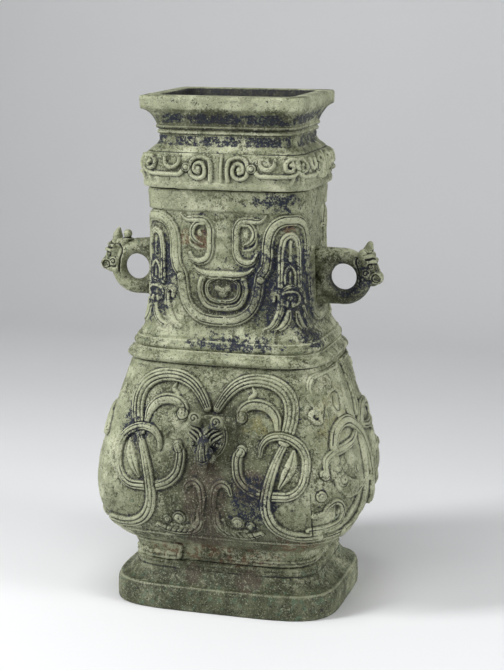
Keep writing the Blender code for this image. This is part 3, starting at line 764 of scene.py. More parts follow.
def unit_ball(detail: int) -> tuple[np.ndarray, np.ndarray]:
    """Makes a ball of radius 1.

    Args:
        detail: How often its faces are divided.

    Returns:
        Its vertices and its triangles.
    """
    shape = bmesh.new()
    bmesh.ops.create_icosphere(shape, subdivisions=detail, radius=1.0)
    shape.verts.index_update()
    points = np.array([tuple(vertex.co) for vertex in shape.verts])
    faces = np.array([[vertex.index for vertex in face.verts] for face in shape.faces])
    shape.free()
    return points, faces


def triangle_count(mesh: bpy.types.Mesh) -> int:
    """How many triangles a mesh exports as."""
    return sum(len(face.vertices) - 2 for face in mesh.polygons)


class Socket:
    """A node's output that can be used in Python arithmetic, which adds Math nodes."""

    def __init__(self, wiring: Wiring, output: bpy.types.NodeSocket) -> None:
        """Wraps an output."""
        self.wiring = wiring
        self.output = output

    def math(self, operation: str, *values: object) -> Socket:
        """One Math node on some values."""
        return self.wiring.add("ShaderNodeMath", {"operation": operation}, dict(enumerate(values)))

    def __add__(self, other: object) -> Socket:
        """The sum."""
        return self.math("ADD", self, other)

    def __radd__(self, other: object) -> Socket:
        """The sum, from the right."""
        return self.math("ADD", other, self)

    def __sub__(self, other: object) -> Socket:
        """The difference."""
        return self.math("SUBTRACT", self, other)

    def __rsub__(self, other: object) -> Socket:
        """The difference, from the right."""
        return self.math("SUBTRACT", other, self)

    def __mul__(self, other: object) -> Socket:
        """The product."""
        return self.math("MULTIPLY", self, other)

    def __rmul__(self, other: object) -> Socket:
        """The product, from the right."""
        return self.math("MULTIPLY", other, self)

    def between(self, low: float, high: float) -> Socket:
        """A smooth mask from 0 at one value to 1 at another."""
        sockets = {"Value": self, "From Min": low, "From Max": high}
        return self.wiring.add("ShaderNodeMapRange", {"interpolation_type": "SMOOTHSTEP"}, sockets)


class Wiring:
    """Adds nodes to one tree."""

    def __init__(self, tree: bpy.types.NodeTree) -> None:
        """Works on a tree."""
        self.tree = tree

    def add(
        self,
        kind: str,
        settings: dict[str, object] | None = None,
        sockets: dict[int | str, object] | None = None,
        output: int | str = 0,
    ) -> Socket:
        """Adds a node.

        Args:
            kind: The node's type.
            settings: Its own settings, which are set first.
            sockets: Values or links for its sockets, by number or name.
            output: The output that the result wraps.

        Returns:
            The wrapped output.
        """
        node = self.tree.nodes.new(kind)
        for key, value in (settings or {}).items():
            setattr(node, key, value)
        for key, value in (sockets or {}).items():
            if isinstance(value, Socket):
                self.tree.links.new(value.output, node.inputs[key])
            else:
                node.inputs[key].default_value = value
        return Socket(self, node.outputs[output] if len(node.outputs) else None)


class Finish(Wiring):
    """The wiring of one material."""

    def __init__(self, name: str) -> None:
        """Starts an empty material.

        Args:
            name: The material's name.
        """
        self.material = bpy.data.materials.new(name)
        self.material.use_nodes = True
        super().__init__(self.material.node_tree)
        self.tree.nodes.clear()
        self.place = self.add("ShaderNodeTexCoord", output="Object")

    def mix(self, share: object, first: object, second: object) -> Socket:
        """Mixes two colours."""
        settings = {"data_type": "RGBA", "clamp_factor": True}
        return self.add("ShaderNodeMix", settings, {0: share, 6: first, 7: second}, output=2)

    def noise(self, size: float, detail: float = 3.0, roughness: float = 0.55, seed: float = 0.0) -> Socket:
        """Adds noise that is near 0.5 on average.

        Args:
            size: How wide its lumps are, in millimetres.
            detail: How many finer layers it has.
            roughness: How strong the finer layers are.
            seed: A number that sets it apart from other noise.

        Returns:
            The noise.
        """
        sockets = {"Vector": self.place, "W": seed, "Scale": 1.0 / (size * MM)}
        sockets |= {"Detail": detail, "Roughness": roughness}
        return self.add("ShaderNodeTexNoise", {"noise_dimensions": "4D"}, sockets)

    def attribute(self, name: str) -> Socket:
        """A number kept on the mesh."""
        return self.add("ShaderNodeAttribute", {"attribute_name": name}, output="Fac")

    def near(self, stain: Stain) -> Socket:
        """Adds a soft mask over a stained place.

        Args:
            stain: The place.

        Returns:
            The mask, which is 1 in the place's middle and 0 outside its reach.
        """
        away = tuple(-middle / reach for middle, reach in zip(stain.centre, stain.radii))
        scale = tuple(1.0 / (reach * MM) for reach in stain.radii)
        sockets = {"Vector": self.place, "Location": away, "Scale": scale}
        centred = self.add("ShaderNodeMapping", {"vector_type": "POINT"}, sockets)
        length = self.add("ShaderNodeVectorMath", {"operation": "LENGTH"}, {0: centred}, output="Value")
        return 1.0 - length.between(stain.core, 1.0)


class NodeModel(Wiring):
    """A Geometry Nodes tree with named inputs, which is run once on a draft mesh."""

    def __init__(self, name: str) -> None:
        """Starts a tree that takes a mesh and gives one back.

        Args:
            name: The tree's name.
        """
        tree = bpy.data.node_groups.new(name, "GeometryNodeTree")
        tree.is_modifier = True
        super().__init__(tree)
        self.settings: dict[str, object] = {}
        tree.interface.new_socket("Geometry", in_out="INPUT", socket_type="NodeSocketGeometry")
        tree.interface.new_socket("Geometry", in_out="OUTPUT", socket_type="NodeSocketGeometry")
        self.source = tree.nodes.new("NodeGroupInput")

    def geometry(self) -> Socket:
        """The mesh that the tree works on."""
        return Socket(self, self.source.outputs[0])

    def value(self, name: str, kind: str, value: float) -> Socket:
        """Adds a named input.

        Args:
            name: The input's name.
            kind: Float or Int.
            value: What it is set to.

        Returns:
            The input inside the tree.
        """
        socket = self.tree.interface.new_socket(name, in_out="INPUT", socket_type=f"NodeSocket{kind}")
        self.settings[socket.identifier] = value
        return Socket(self, self.source.outputs[name])

    def finish(self, shape: Socket, material: bpy.types.Material) -> None:
        """Ends the tree: the shape is made real, smooth and finished in a material.

        Args:
            shape: The shape.
            material: The material.
        """
        smooth = self.add("GeometryNodeSetShadeSmooth", sockets={0: shape})
        real = self.add("GeometryNodeRealizeInstances", sockets={0: smooth})
        done = self.add("GeometryNodeSetMaterial", sockets={"Geometry": real, "Material": material})
        self.add("NodeGroupOutput", sockets={0: done})

    def run(self, name: str, points: np.ndarray, edges: Sequence, faces: Sequence) -> bpy.types.Object:
        """Runs the tree on a draft mesh.

        Args:
            name: The name of the piece that it makes.
            points: The draft's vertices in millimetres.
            edges: Its loose edges.
            faces: Its faces.

        Returns:
            The piece, as a plain mesh.
        """
        draft = mesh_object(f"{name}_draft", points * MM, faces, None, edges)
        modifier = draft.modifiers.new(name, "NODES")
        modifier.node_group = self.tree
        for identifier, value in self.settings.items():
            modifier[identifier] = value
        mesh = baked_mesh(draft)
        turn_outwards(mesh)
        return linked(name, mesh)


def colour(red: int, green: int, blue: int) -> Colour:
    """Turns a colour as a screen shows it into the linear values that a shader takes.

    Args:
        red: Its red, from 0 to 255.
        green: Its green.
        blue: Its blue.

    Returns:
        The linear colour.
    """
    parts = [value / 255.0 for value in (red, green, blue)]
    linear = [p / 12.92 if p <= 0.04045 else ((p + 0.055) / 1.055) ** 2.4 for p in parts]
    return linear[0], linear[1], linear[2], 1.0


@dataclass(frozen=True)
class Stain:
    """A soft-edged place on the bronze: its middle and reach in millimetres, and its even core's share."""

    centre: Spot
    radii: Spot
    core: float = 0.35


@dataclass(frozen=True)
class Patina:
    """The crust on old bronze: grey green over olive, dark patina and painted shade in the hollows, with blue
    and rust in places.
    """

    name: str
    chalk: Colour = colour(188, 191, 162)
    celadon: Colour = colour(130, 135, 106)
    olive: Colour = colour(100, 104, 72)
    moss: Colour = colour(62, 64, 44)
    earth: Colour = colour(82, 67, 59)
    umber: Colour = colour(38, 37, 28)
    # The darkest colour: for pits and incised lines, and the painted shade of the insides and undersides.
    soot_and_shade: Colour = colour(19, 20, 18)
    azurite: Colour = colour(24, 31, 48)
    rust: Colour = colour(108, 74, 50)
    straw: Colour = colour(140, 134, 78)
    malachite: Colour = colour(84, 122, 101)
    roughness: float = 0.62
    metallic: float = 0.06
    specular: float = 0.32
    shaded: tuple[Stain, ...] = (
        Stain((6, -128, 172), (92, 70, 100)),
        Stain((20, -100, 98), (140, 60, 34)),
        Stain((0, -90, 20), (230, 200, 62)),
        Stain((134, -6, 384), (52, 60, 44)),
        Stain((-108, 0, 392), (34, 70, 60)),
        Stain((40, -96, 40), (24, 40, 20)),
        Stain((10, -124, 236), (70, 60, 56)),
        Stain((30, -80, 372), (90, 50, 40)),
        Stain((100, -50, 372), (34, 60, 66)),
        Stain((0, -50, 572), (170, 90, 17)),
    )
    blued: tuple[Stain, ...] = (
        Stain((62, -74, 392), (64, 30, 74)),
        Stain((-80, -72, 392), (42, 40, 66)),
        Stain((70, -76, 482), (60, 30, 16)),
        Stain((0, -132, 214), (34, 30, 40)),
        Stain((54, -124, 148), (40, 34, 46)),
        Stain((-96, -118, 226), (34, 40, 34)),
        Stain((138, -8, 386), (46, 50, 40)),
        Stain((20, -92, 322), (90, 30, 16)),
        Stain((112, -60, 330), (30, 60, 22)),
        Stain((100, -58, 388), (42, 60, 84)),
    )
    rusted: tuple[Stain, ...] = (
        Stain((-22, -74, 437), (16, 22, 20)),
        Stain((-43, -72, 438), (9, 20, 20)),
        Stain((82, -72, 452), (18, 24, 11)),
        Stain((96, -92, 92), (50, 50, 26)),
        Stain((0, -94, 70), (150, 60, 22)),
    )
    yellowed: tuple[Stain, ...] = (Stain((58, -112, 240), (34, 40, 30)), Stain((128, -60, 236), (26, 60, 60)))
    smeared: tuple[Stain, ...] = (
        Stain((-4, -128, 150), (34, 60, 60)),
        Stain((50, -124, 165), (28, 50, 26)),
        Stain((-8, -108, 98), (34, 40, 22)),
        Stain((38, -98, 42), (22, 40, 18)),
        Stain((-30, -98, 44), (14, 40, 16)),
    )
    # Places where the crust is calmer and paler; on the belly's left and right sides and the lid's top, the
    # paler chalk is also painted light where the soft boxes fall.
    calmed_and_lit: tuple[Stain, ...] = (
        Stain((0, 0, 593), (400, 400, 10)),
        Stain((0, -60, 506), (300, 90, 20)),
        Stain((-54, -72, 481), (46, 30, 22)),
        Stain((-146, -70, 190), (44, 90, 100)),
        Stain((150, -30, 220), (50, 80, 80)),
    )

    @staticmethod
    def places(coat: Finish, stains: Sequence[Stain]) -> Socket:
        """Joins stained places in one soft mask.

        Args:
            coat: The material's wiring.
            stains: The places.

        Returns:
            The mask.
        """
        whole, *others = (coat.near(stain) for stain in stains)
        for mask in others:
            whole = whole.math("MAXIMUM", whole, mask)
        return whole

    def bands(self, height: Socket) -> Socket:
        """Marks the dark bands round the lid's waist and under its lip.

        Args:
            height: The height above the ground, in metres.

        Returns:
            The mask.
        """
        waist = height.between(0.5415, 0.5450) * (1.0 - height.between(0.5525, 0.5560))
        flare = height.between(0.5665, 0.5700) * (1.0 - height.between(0.5775, 0.5830))
        return waist + flare

    def crust(self, coat: Finish, height: Socket, dark: Socket, grit: Socket) -> Socket:
        """Mixes the colours of the open surface, from broad clouds to small mottling.

        Args:
            coat: The material's wiring.
            height: The height above the ground, in metres.
            dark: The mask of the shaded places.
            grit: The mask of the gritty places.

        Returns:
            The colour.
        """
        cloud, patch = coat.noise(55.0, 2.0), coat.noise(24.0, 4.0, 0.55, 3.1)
        mottle = coat.noise(4.6, 4.0, 0.62, 8.3)
        shade = coat.mix(patch.between(0.42, 0.60), self.celadon, self.chalk)
        shade = coat.mix(cloud.between(0.42, 0.60) * 0.65, shade, self.celadon)
        green_spots = (mottle + dark * 0.10).between(0.50, 0.58)
        shade = coat.mix(green_spots * (0.25 + grit * 0.5), shade, self.olive)
        dark_spots = (mottle - patch * 0.3 + dark * 0.18).between(0.38, 0.46)
        shade = coat.mix(dark_spots * (0.3 + grit * 0.45), shade, self.moss)
        shade = coat.mix(dark * 0.46, shade, self.moss)
        yellow = self.places(coat, self.yellowed) * coat.noise(9.0, 3.0, 0.6, 14.0).between(0.44, 0.60)
        shade = coat.mix(yellow * 0.42, shade, self.straw)
        green = coat.noise(7.0, 4.0, 0.7, 21.0) - height.between(0.02, 0.12) * 0.06
        return coat.mix(green.between(0.52, 0.62) * 0.45, shade, self.malachite)

    def material(self) -> bpy.types.Material:
        """Builds the material.

        Returns:
            The material, which reads the hollows and incised lines kept on the mesh.
        """
        coat = Finish(self.name)
        hollow, line = coat.attribute("hollow"), coat.attribute("line")
        height = coat.add("ShaderNodeSeparateXYZ", sockets={0: coat.place}, output="Z")
        fine, crumb = coat.noise(2.4, 4.0, 0.72, 7.7), coat.noise(1.1, 3.0, 0.65, 9.4)
        ragged = coat.noise(7.5, 6.0, 0.74, 12.0)
        flake = coat.noise(20.0, 3.0, 0.6, 71.0).between(0.36, 0.60)
        dark, blue, calm_and_lit = (self.places(coat, stains) for stains in (self.shaded, self.blued, self.calmed_and_lit))
        grit = coat.noise(26.0, 3.0, 0.6, 83.0).between(0.40, 0.60) * (1.0 - calm_and_lit * 0.8)
        shade = self.crust(coat, height, dark, grit)
        # Paler chalk over the calm places, which is partly painted light on the lit sides.
        shade = coat.mix(calm_and_lit * 0.28, shade, self.chalk)
        smear = self.places(coat, self.smeared).between(0.0, 0.6) * (0.5 + ragged.between(0.38, 0.56) * 0.5)
        shade = coat.mix(smear * 0.78, shade, self.earth)
        # Painted shade in creases and recesses, laid from the hollow mask, together with the dark patina that
        # settles there.
        deep = (hollow + (fine - 0.5) * 0.8 + dark * 0.10).between(0.08, 0.60)
        shade = coat.mix(deep * (0.68 + flake * 0.26), shade, self.umber)
        speckle = (fine + hollow * 0.12 + dark * 0.05).between(0.53, 0.62)
        shade = coat.mix(speckle * (0.15 + grit * 0.45), shade, self.moss)
        stain = ragged + self.places(coat, self.rusted) * 0.13 + hollow * 0.05
        shade = coat.mix(stain.between(0.61, 0.67) * 0.7, shade, self.rust)
        # Painted highlight on the crests, where the hollow mask is negative, together with the pale wear of
        # raised edges.
        crest = (0.0 - hollow + (coat.noise(9.0, 3.0, 0.6, 41.0) - 0.5) * 0.7).between(0.04, 0.40)
        shade = coat.mix(crest * (0.42 + flake * 0.20 - dark * 0.16 - smear * 0.3), shade, self.chalk)
        chips = coat.noise(1.9, 2.0, 0.6, 51.0).between(0.57, 0.65)
        shade = coat.mix(chips * 0.46, shade, self.chalk)
        navy = ragged + blue * 0.165 + hollow * 0.13 + self.bands(height) * (0.05 + flake * 0.17)
        shade = coat.mix(navy.between(0.60, 0.65) * fine.between(0.36, 0.50), shade, self.azurite)
        pores = (crumb + dark * 0.02).between(0.52, 0.60)
        shade = coat.mix(pores * (0.22 + grit * 0.46), shade, self.umber)
        pits = (coat.noise(2.2, 3.0, 0.7, 61.0) + grit * 0.03).between(0.59, 0.64)
        shade = coat.mix(pits * 0.8, shade, self.soot_and_shade)
        shade = coat.mix(line.between(0.24, 0.62) * (0.52 + flake * 0.46), shade, self.soot_and_shade)
        # Painted shade inside the vessel, in the lid's dish and on the undersides, whose hollow is 1.
        shade = coat.mix(hollow.between(0.90, 1.0) * 0.72, shade, self.soot_and_shade)
        grain = fine * 0.6 + crumb * 0.6 + ragged * 0.5
        settings = {"Strength": 0.7, "Distance": 1.0 * MM, "Height": grain}
        surface = {
            "Base Color": shade,
            "Roughness": self.roughness + fine * 0.22 - 0.11,
            "Metallic": self.metallic,
            "Specular IOR Level": self.specular,
            "Normal": coat.add("ShaderNodeBump", sockets=settings, output="Normal"),
        }
        shader = coat.add("ShaderNodeBsdfPrincipled", sockets=surface)
        coat.add("ShaderNodeOutputMaterial", sockets={"Surface": shader})
        return coat.material


@dataclass(frozen=True)
class Lamp:
    """A soft box: where it hangs, its width and height in metres, and its power in watts."""

    name: str
    place: Spot
    size: tuple[float, float]
    watts: float


@dataclass
class Studio:
    """The camera, the pale floor and the soft lights."""

    lens: float = 92.2
    camera_place: Spot = (0.5802, -1.9098, 0.735)
    camera_turn: Spot = (78.07, 0.0, 16.47)
    floor_reach: float = 3.0
    floor_bend: float = 0.8
    bend_steps: int = 12
    wall_height: float = 2.6
    wall_distance: float = 2.2
    paper: tuple[Colour, Colour] = (colour(232, 233, 235), colour(238, 239, 241))
    paper_roughness: float = 0.85
    lamps: tuple[Lamp, ...] = (
        Lamp("left_soft_box", (-1.45, -1.05, 1.25), (0.42, 0.8), 36.5),
        Lamp("right_soft_box", (1.7, -0.45, 0.9), (0.5, 1.1), 18),
        Lamp("top_soft_box", (0, -0.5, 1.9), (0.8, 0.5), 12),
    )
    lit_middle: Spot = (0.0, 0.0, 0.32)
    sky: Colour = (0.85, 0.85, 0.82, 1.0)
    sky_strength: float = 0.14

    def camera(self) -> None:
        """Sets up the camera at the photograph's viewing angle."""
        data = bpy.data.cameras.new("camera")
        data.lens = self.lens
        camera = linked("camera", data)
        camera.location = self.camera_place
        camera.rotation_euler = [math.radians(angle) for angle in self.camera_turn]
        bpy.context.scene.camera = camera

    def backdrop(self) -> None:
        """Lays a pale floor that bends up into a wall behind."""
        profile = [(-self.floor_reach, 0.0), (self.wall_distance - self.floor_bend, 0.0)]
        for step in range(1, self.bend_steps + 1):
            turn = math.pi / 2 * step / self.bend_steps
            y = self.wall_distance - self.floor_bend + self.floor_bend * math.sin(turn)
            profile.append((y, self.floor_bend * (1.0 - math.cos(turn))))
        profile.append((self.wall_distance, self.wall_height))
        points = [(x, y, z) for y, z in profile for x in (-self.floor_reach, self.floor_reach)]
        faces = [(2 * i, 2 * i + 1, 2 * i + 3, 2 * i + 2) for i in range(len(profile) - 1)]
        paper = Finish("studio_paper")
        tone = paper.mix(paper.noise(400.0, 2.0), *self.paper)
        surface = {"Base Color": tone, "Roughness": self.paper_roughness}
        shader = paper.add("ShaderNodeBsdfPrincipled", sockets=surface)
        paper.add("ShaderNodeOutputMaterial", sockets={"Surface": shader})
        mesh_object("studio_floor", np.array(points), faces, paper.material)

    def hang(self, lamp: Lamp) -> None:
        """Hangs a soft box that looks at the middle of the object.

        Args:
            lamp: The soft box.
        """
        data = bpy.data.lights.new(lamp.name, "AREA")
        data.shape = "RECTANGLE"
        data.size, data.size_y = lamp.size
        data.energy = lamp.watts
        box = linked(lamp.name, data)
        box.location = lamp.place
        sight = Vector(self.lit_middle) - Vector(lamp.place)
        box.rotation_euler = sight.to_track_quat("-Z", "Y").to_euler()

    def lights(self) -> None:
        """Hangs the lamps, sets a dim pale sky and keeps the picture's tones as they fall."""
        for lamp in self.lamps:
            self.hang(lamp)
        world = bpy.data.worlds.new("studio_air")
        bpy.context.scene.world = world
        world.use_nodes = True
        air = world.node_tree.nodes["Background"]
        air.inputs["Color"].default_value = self.sky
        air.inputs["Strength"].default_value = self.sky_strength
        bpy.context.scene.view_settings.view_transform = "Standard"


@dataclass
class Piece:
    """What every sub-assembly of the hu shares.

    The bare wall's unevenness is given as depths and sizes of lumps. Wear comes in patches, and its shares
    say how much relief and how much of a line is left where it is strongest.
    """

    UNEVEN = ((0.32, 34.0), (0.20, 11.0), (0.16, 4.2), (0.10, 2.0))
    WEAR_PATCH = 26.0
    WEAR_CONTRAST = 1.6
    WEAR_SHIFT = 300.0
    WORN_RELIEF = 0.90
    WORN_LINE = 0.45

    material: bpy.types.Material
    weather: Weather
    node: str = "vessel"
    slot: str = "vessel_bronze"
    wall: float = 5.0
    skins: list[np.ndarray] = field(default_factory=list)

    def settle(self, item: bpy.types.Object) -> bpy.types.Object:
        """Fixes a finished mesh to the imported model.

        Args:
            item: The piece.

        Returns:
            The same object.
        """
        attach(item, "root")
        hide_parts(self.node)
        LOG.info("%s: %d triangles", item.name, triangle_count(item.data))
        return item

    def ground(self, points: np.ndarray) -> np.ndarray:
        """How uneven the bare wall is at some points, in millimetres."""
        return sum(depth * self.weather.at(points, size) for depth, size in self.UNEVEN)

    def carved(self, canvas: Canvas, closed: bool) -> tuple[np.ndarray, np.ndarray]:
        """Turns a canvas into worn, carved points.

        Args:
            canvas: The carving.
            closed: Whether its columns go all the way round.

        Returns:
            The points in millimetres, and their hollows and lines.
        """
        chart = canvas.chart
        patches = self.weather.at(chart.points + self.WEAR_SHIFT, self.WEAR_PATCH)
        kept = eased(0.5 + self.WEAR_CONTRAST * patches)
        relief = canvas.relief * (self.WORN_RELIEF + (1.0 - self.WORN_RELIEF) * kept)
        lines = canvas.lines * (self.WORN_LINE + (1.0 - self.WORN_LINE) * kept)
        points = chart.points + chart.normals * (relief + self.ground(chart.points))[..., None]
        return points, np.stack([canvas.hollows(closed), lines], axis=-1)

    def inner_rows(self, rows: np.ndarray, count: int) -> np.ndarray:
        """The rows of the inside of a wall.

        Args:
            rows: The outside's rows.
            count: How many rows the inside takes.

        Returns:
            The inside's rows, which end at the same heights as the outside's.
        """
        picked = rows[np.linspace(0, len(rows) - 1, count).round().astype(int)].copy()
        picked[:, 1:3] -= self.wall
        return picked


def moved(work: Sequence[Stroke | Boss], across: float) -> list[Stroke | Boss]:
    """The same carving, a little further along the wall.

    Args:
        work: The strokes and bosses.
        across: How far they move, in millimetres.

    Returns:
        The moved strokes and bosses.
    """
    shifted = []
    for item in work:
        if isinstance(item, Boss):
            shifted.append(replace(item, place=(item.place[0] + across, item.place[1])))
        else:
            shifted.append(replace(item, path=tuple((x + across, height) for x, height in item.path)))
    return shifted


@dataclass
class Belly(Piece):
    """The pot belly: four carved panels that meet at the corners, where the mould's seams ran."""

    rows_step: float = 0.98
    columns: tuple[int, int, int, int] = (156, 108, 88, 70)
    extra: int = 12
    profile: tuple[Level, ...] = (
        Level(66, 109.8, 84.8, 4.8), Level(69.5, 110.4, 85.4, 4.75), Level(73.5, 112.2, 87, 4.7),
        Level(77.5, 113.8, 88.4, 4.6), Level(80.5, 119, 92.6, 4.5), Level(84, 128.6, 100.6, 4.45),
        Level(92, 138, 108.5, 4.35), Level(107, 148.5, 117.5, 4.2), Level(125, 155.5, 123.8, 4.15),
        Level(147, 158, 126.5, 4.1), Level(175.6, 155.3, 124, 4.15), Level(207, 146.6, 116.5, 4.2),
        Level(247, 133, 105, 4.3), Level(275, 123.6, 97, 4.35), Level(290, 118.9, 93, 4.35),
    )
    arch: Path = (
        (6, 249), (11, 258), (17, 266.5), (27, 276), (41, 282), (57, 283), (73, 278.5), (85, 269), (91, 256),
        (92, 243), (90, 230), (87, 219),
    )
    loop_foot: Path = (
        (113, 186), (110, 172), (103, 162), (94, 157.5), (82, 157), (69, 157.5), (56, 160.5), (45, 166),
        (37, 175), (34, 187), (34, 198), (38, 206),
    )
    loop_head: Path = (
        (60, 201), (61, 211), (68, 220), (81, 223.5), (95, 219.5), (106.5, 210.5), (112, 199), (113, 186),
    )
    tail: Path = (
        (86, 213), (80.5, 200), (75, 183), (70.5, 164), (68.5, 147), (71, 132), (79, 119), (92, 111),
        (108, 108), (126, 108.5),
    )
    leaf: Path = ((98, 207), (96, 193), (90, 178), (84, 167))
    hood: Path = ((35, 238), (35, 248), (42, 254.5), (54, 256.5), (66, 253), (75, 243), (78, 230))

    def front_work(self, plain: bool) -> list[Stroke | Boss]:
        """The serpents and small beasts of the right half of a broad face, in their order.

        Args:
            plain: Whether the small beasts are left out.

        Returns:
            The strokes and bosses.
        """
        paired = (-0.46, 0.46)
        small = [
            Stroke(((40, 240), (46, 232), (56, 228), (66, 231)), 20, 1.6, dome=0.2, edge=5),
            Stroke(self.hood, 12, 4.2, lines=(0.45,), taper=(0.9, 1, 1, 0.9, 0.6)),
            Boss((35.5, 241), 6.8, 5, ring=0.62, pupil=1.1),
            Stroke(((44, 262), (48, 268), (45, 275)), 7, 2.6, taper=(1, 0.7, 0.2)),
            Stroke(
                ((8, 126), (7, 152), (10.5, 163), (17, 167), (24, 164), (28, 155)), 8, 3, lines=(0.2,),
                taper=(0.4, 0.8, 1, 1, 0.5),
            ),
            Stroke(
                ((10, 134), (11, 118), (20, 107.5), (36, 104), (52, 105.5), (62, 110)), 14, 3.2,
                lines=(-0.7, -0.1), taper=(0.4, 1, 1, 0.5),
            ),
            Stroke(((18, 124), (21, 114), (31, 110), (45, 112)), 4, 2.6, lines=(0,)),
            Boss((35.5, 122), 8, 4.2, ring=0.72, pupil=1.3),
            Boss((50, 119), 5.4, 3.4, ring=0.6),
            *(
                Stroke(
                    ((x, 108 + abs(x - 34) * 0.14), (x + 4.5, 103)), 1.3, layer=Layer.CUT,
                ) for x in (18, 24.5, 31, 37.5, 44, 50.5)
            ),
        ]
        woven = [
            Stroke(self.loop_foot, 11, 4.2, lines=paired, taper=(0.86, 0.86, 1, 1.1, 1.05)),
            Boss((37, 203), 5.6, 4.8, ring=0.55),
            Stroke(self.arch, 15.5, 4.6, lines=(-0.58, 0.02, 0.56), taper=(0.6, 0.85, 0.95, 1, 1, 0.95)),
            Stroke(self.leaf, 13, 2.8, lines=(0,), taper=(0.3, 1, 0.9, 0.25)),
            Stroke(
                self.tail, 12.5, 4.9, lines=(-0.40, 0.36), taper=(0.55, 0.8, 0.95, 1, 1.05, 1.1),
                layer=Layer.OVER,
            ),
            Stroke(self.loop_head, 9.5, 5, lines=paired, taper=(0.45, 0.9, 1, 1, 1), layer=Layer.OVER),
        ]
        return woven if plain else small + woven

    def side_work(self, plain: bool) -> list[Stroke | Boss]:
        """The strap work and heads of one half of a narrow face.

        Args:
            plain: Whether all but the main strap is left out.

        Returns:
            The strokes and bosses.
        """
        upper = [
            Stroke(((82, 262), (70, 269), (56, 275), (38, 276), (24, 268)), 25, 2.8, dome=0.3, edge=2),
            Stroke(((81, 266), (83, 254), (88, 247)), 13, 2.6, dome=0.3, edge=1.8),
            Stroke(((30, 262), (33, 248), (40, 239), (52, 236)), 10, 2.9, dome=0.3, edge=1.6),
            Stroke(
                ((87, 262), (86, 274), (79, 283), (66, 286.5), (46, 287), (20, 286)), 8.5, 3.4,
                lines=(-0.5, 0.5), taper=(0.5, 1, 1, 1),
            ),
            Stroke(
                (
                    (79, 256), (83, 250), (89, 249.5), (95, 248), (99, 243), (96, 237.5), (89, 238),
                    (87.5, 243),
                ),
                5.2, 3.6,
            ),
            Stroke(((80, 245), (69, 258), (56, 263.5), (45, 264)), 1.5, layer=Layer.CUT),
            Stroke(((51, 259), (55, 251), (51, 244)), 7, taper=(0.5, 1, 0.5), layer=Layer.CUT),
            Boss((56, 277), 9, 5, ring=0.66, pupil=1.8, stretch=0.9),
            Stroke(
                ((15, 287), (20, 272), (21.5, 255), (19, 238), (12, 226)), 13, 3.4, lines=(-0.55, 0.55),
                dome=0.2,
            ),
        ]
        lower = [
            Stroke(
                ((88, 198), (93, 186), (89, 172), (76, 160), (56, 156)), 24, 3.2, taper=(0.5, 0.8, 1, 0.7),
                edge=2,
            ),
            Stroke(((60, 192), (48, 178), (36, 160)), 20, 2.4, dome=0.3, edge=2),
            Boss((87, 172), 8.4, 6.4, ring=0.64, pupil=1.8),
            Boss((48, 176), 6.6, 4.8, ring=0.64, pupil=1.2, stretch=1.2),
            Boss((109.5, 180.5), 6.2, 4.6, ring=0.58),
            Boss((118, 157), 6.4, 4.8, ring=0.58, pupil=1.2),
            Stroke(((100, 186), (92, 181), (80, 184)), 1.4, layer=Layer.CUT),
            Stroke(((122, 103.5), (93, 104.5), (66, 107), (40, 111)), 9, 3, lines=(-0.5, 0.5)),
            Stroke(((121, 112), (88, 117), (68, 130), (50, 143)), 9, 3.2, lines=(0.5,)),
            Stroke(((58, 150), (30, 152), (5, 150)), 8, 3, lines=(0,)),
            Stroke(
                (
                    (126, 134), (115, 136.5), (109, 145), (101, 149), (92, 145), (87, 135), (90, 125),
                    (102, 120), (126, 117),
                ),
                6, 3.6, lines=(0,),
            ),
            Stroke(((97, 142), (96, 132)), 5, layer=Layer.CUT),
            Stroke(
                ((107, 183), (102, 195), (90, 201.5), (65, 204), (40, 205), (20, 209.5)), 10, 4.2,
                lines=(-0.5, 0.5), taper=(0.6, 1, 1, 0.8),
            ),
        ]
        bend = [
            (86, 208), (76, 221.5), (58, 229), (38, 228.5), (17, 220), (-3, 204), (-9.5, 181), (-16, 148),
            (-28, 126), (-46, 112), (-70, 106),
        ]
        strap = [Stroke(bend, 14, 4.9, lines=(-0.6, 0.6), taper=(0.8, 1, 1, 1), dome=0.25, layer=Layer.OVER)]
        return strap if plain else upper + lower + strap

    def canvas(self, chart: Chart) -> Canvas:
        """Lays all the belly's carving.

        Args:
            chart: A chart of the belly, or of a part of it.

        Returns:
            The carving.
        """
        canvas = Canvas(chart)
        canvas.draw_all(Face.FRONT, self.front_work(plain=False))
        canvas.draw_all(Face.BACK, self.front_work(plain=True))
        canvas.draw_all(Face.RIGHT, self.side_work(plain=False))
        canvas.draw_all(Face.LEFT, self.side_work(plain=True))
        canvas.girdle(150.0, 97.0, 3.6, rise=1.5)
        canvas.draw(Face.FRONT, Foot.block(72.5, 17.0))
        canvas.draw(Face.FRONT, Stroke(((120, 108), (121, 135), (119, 160)), 1.3, layer=Layer.CUT))
        return canvas

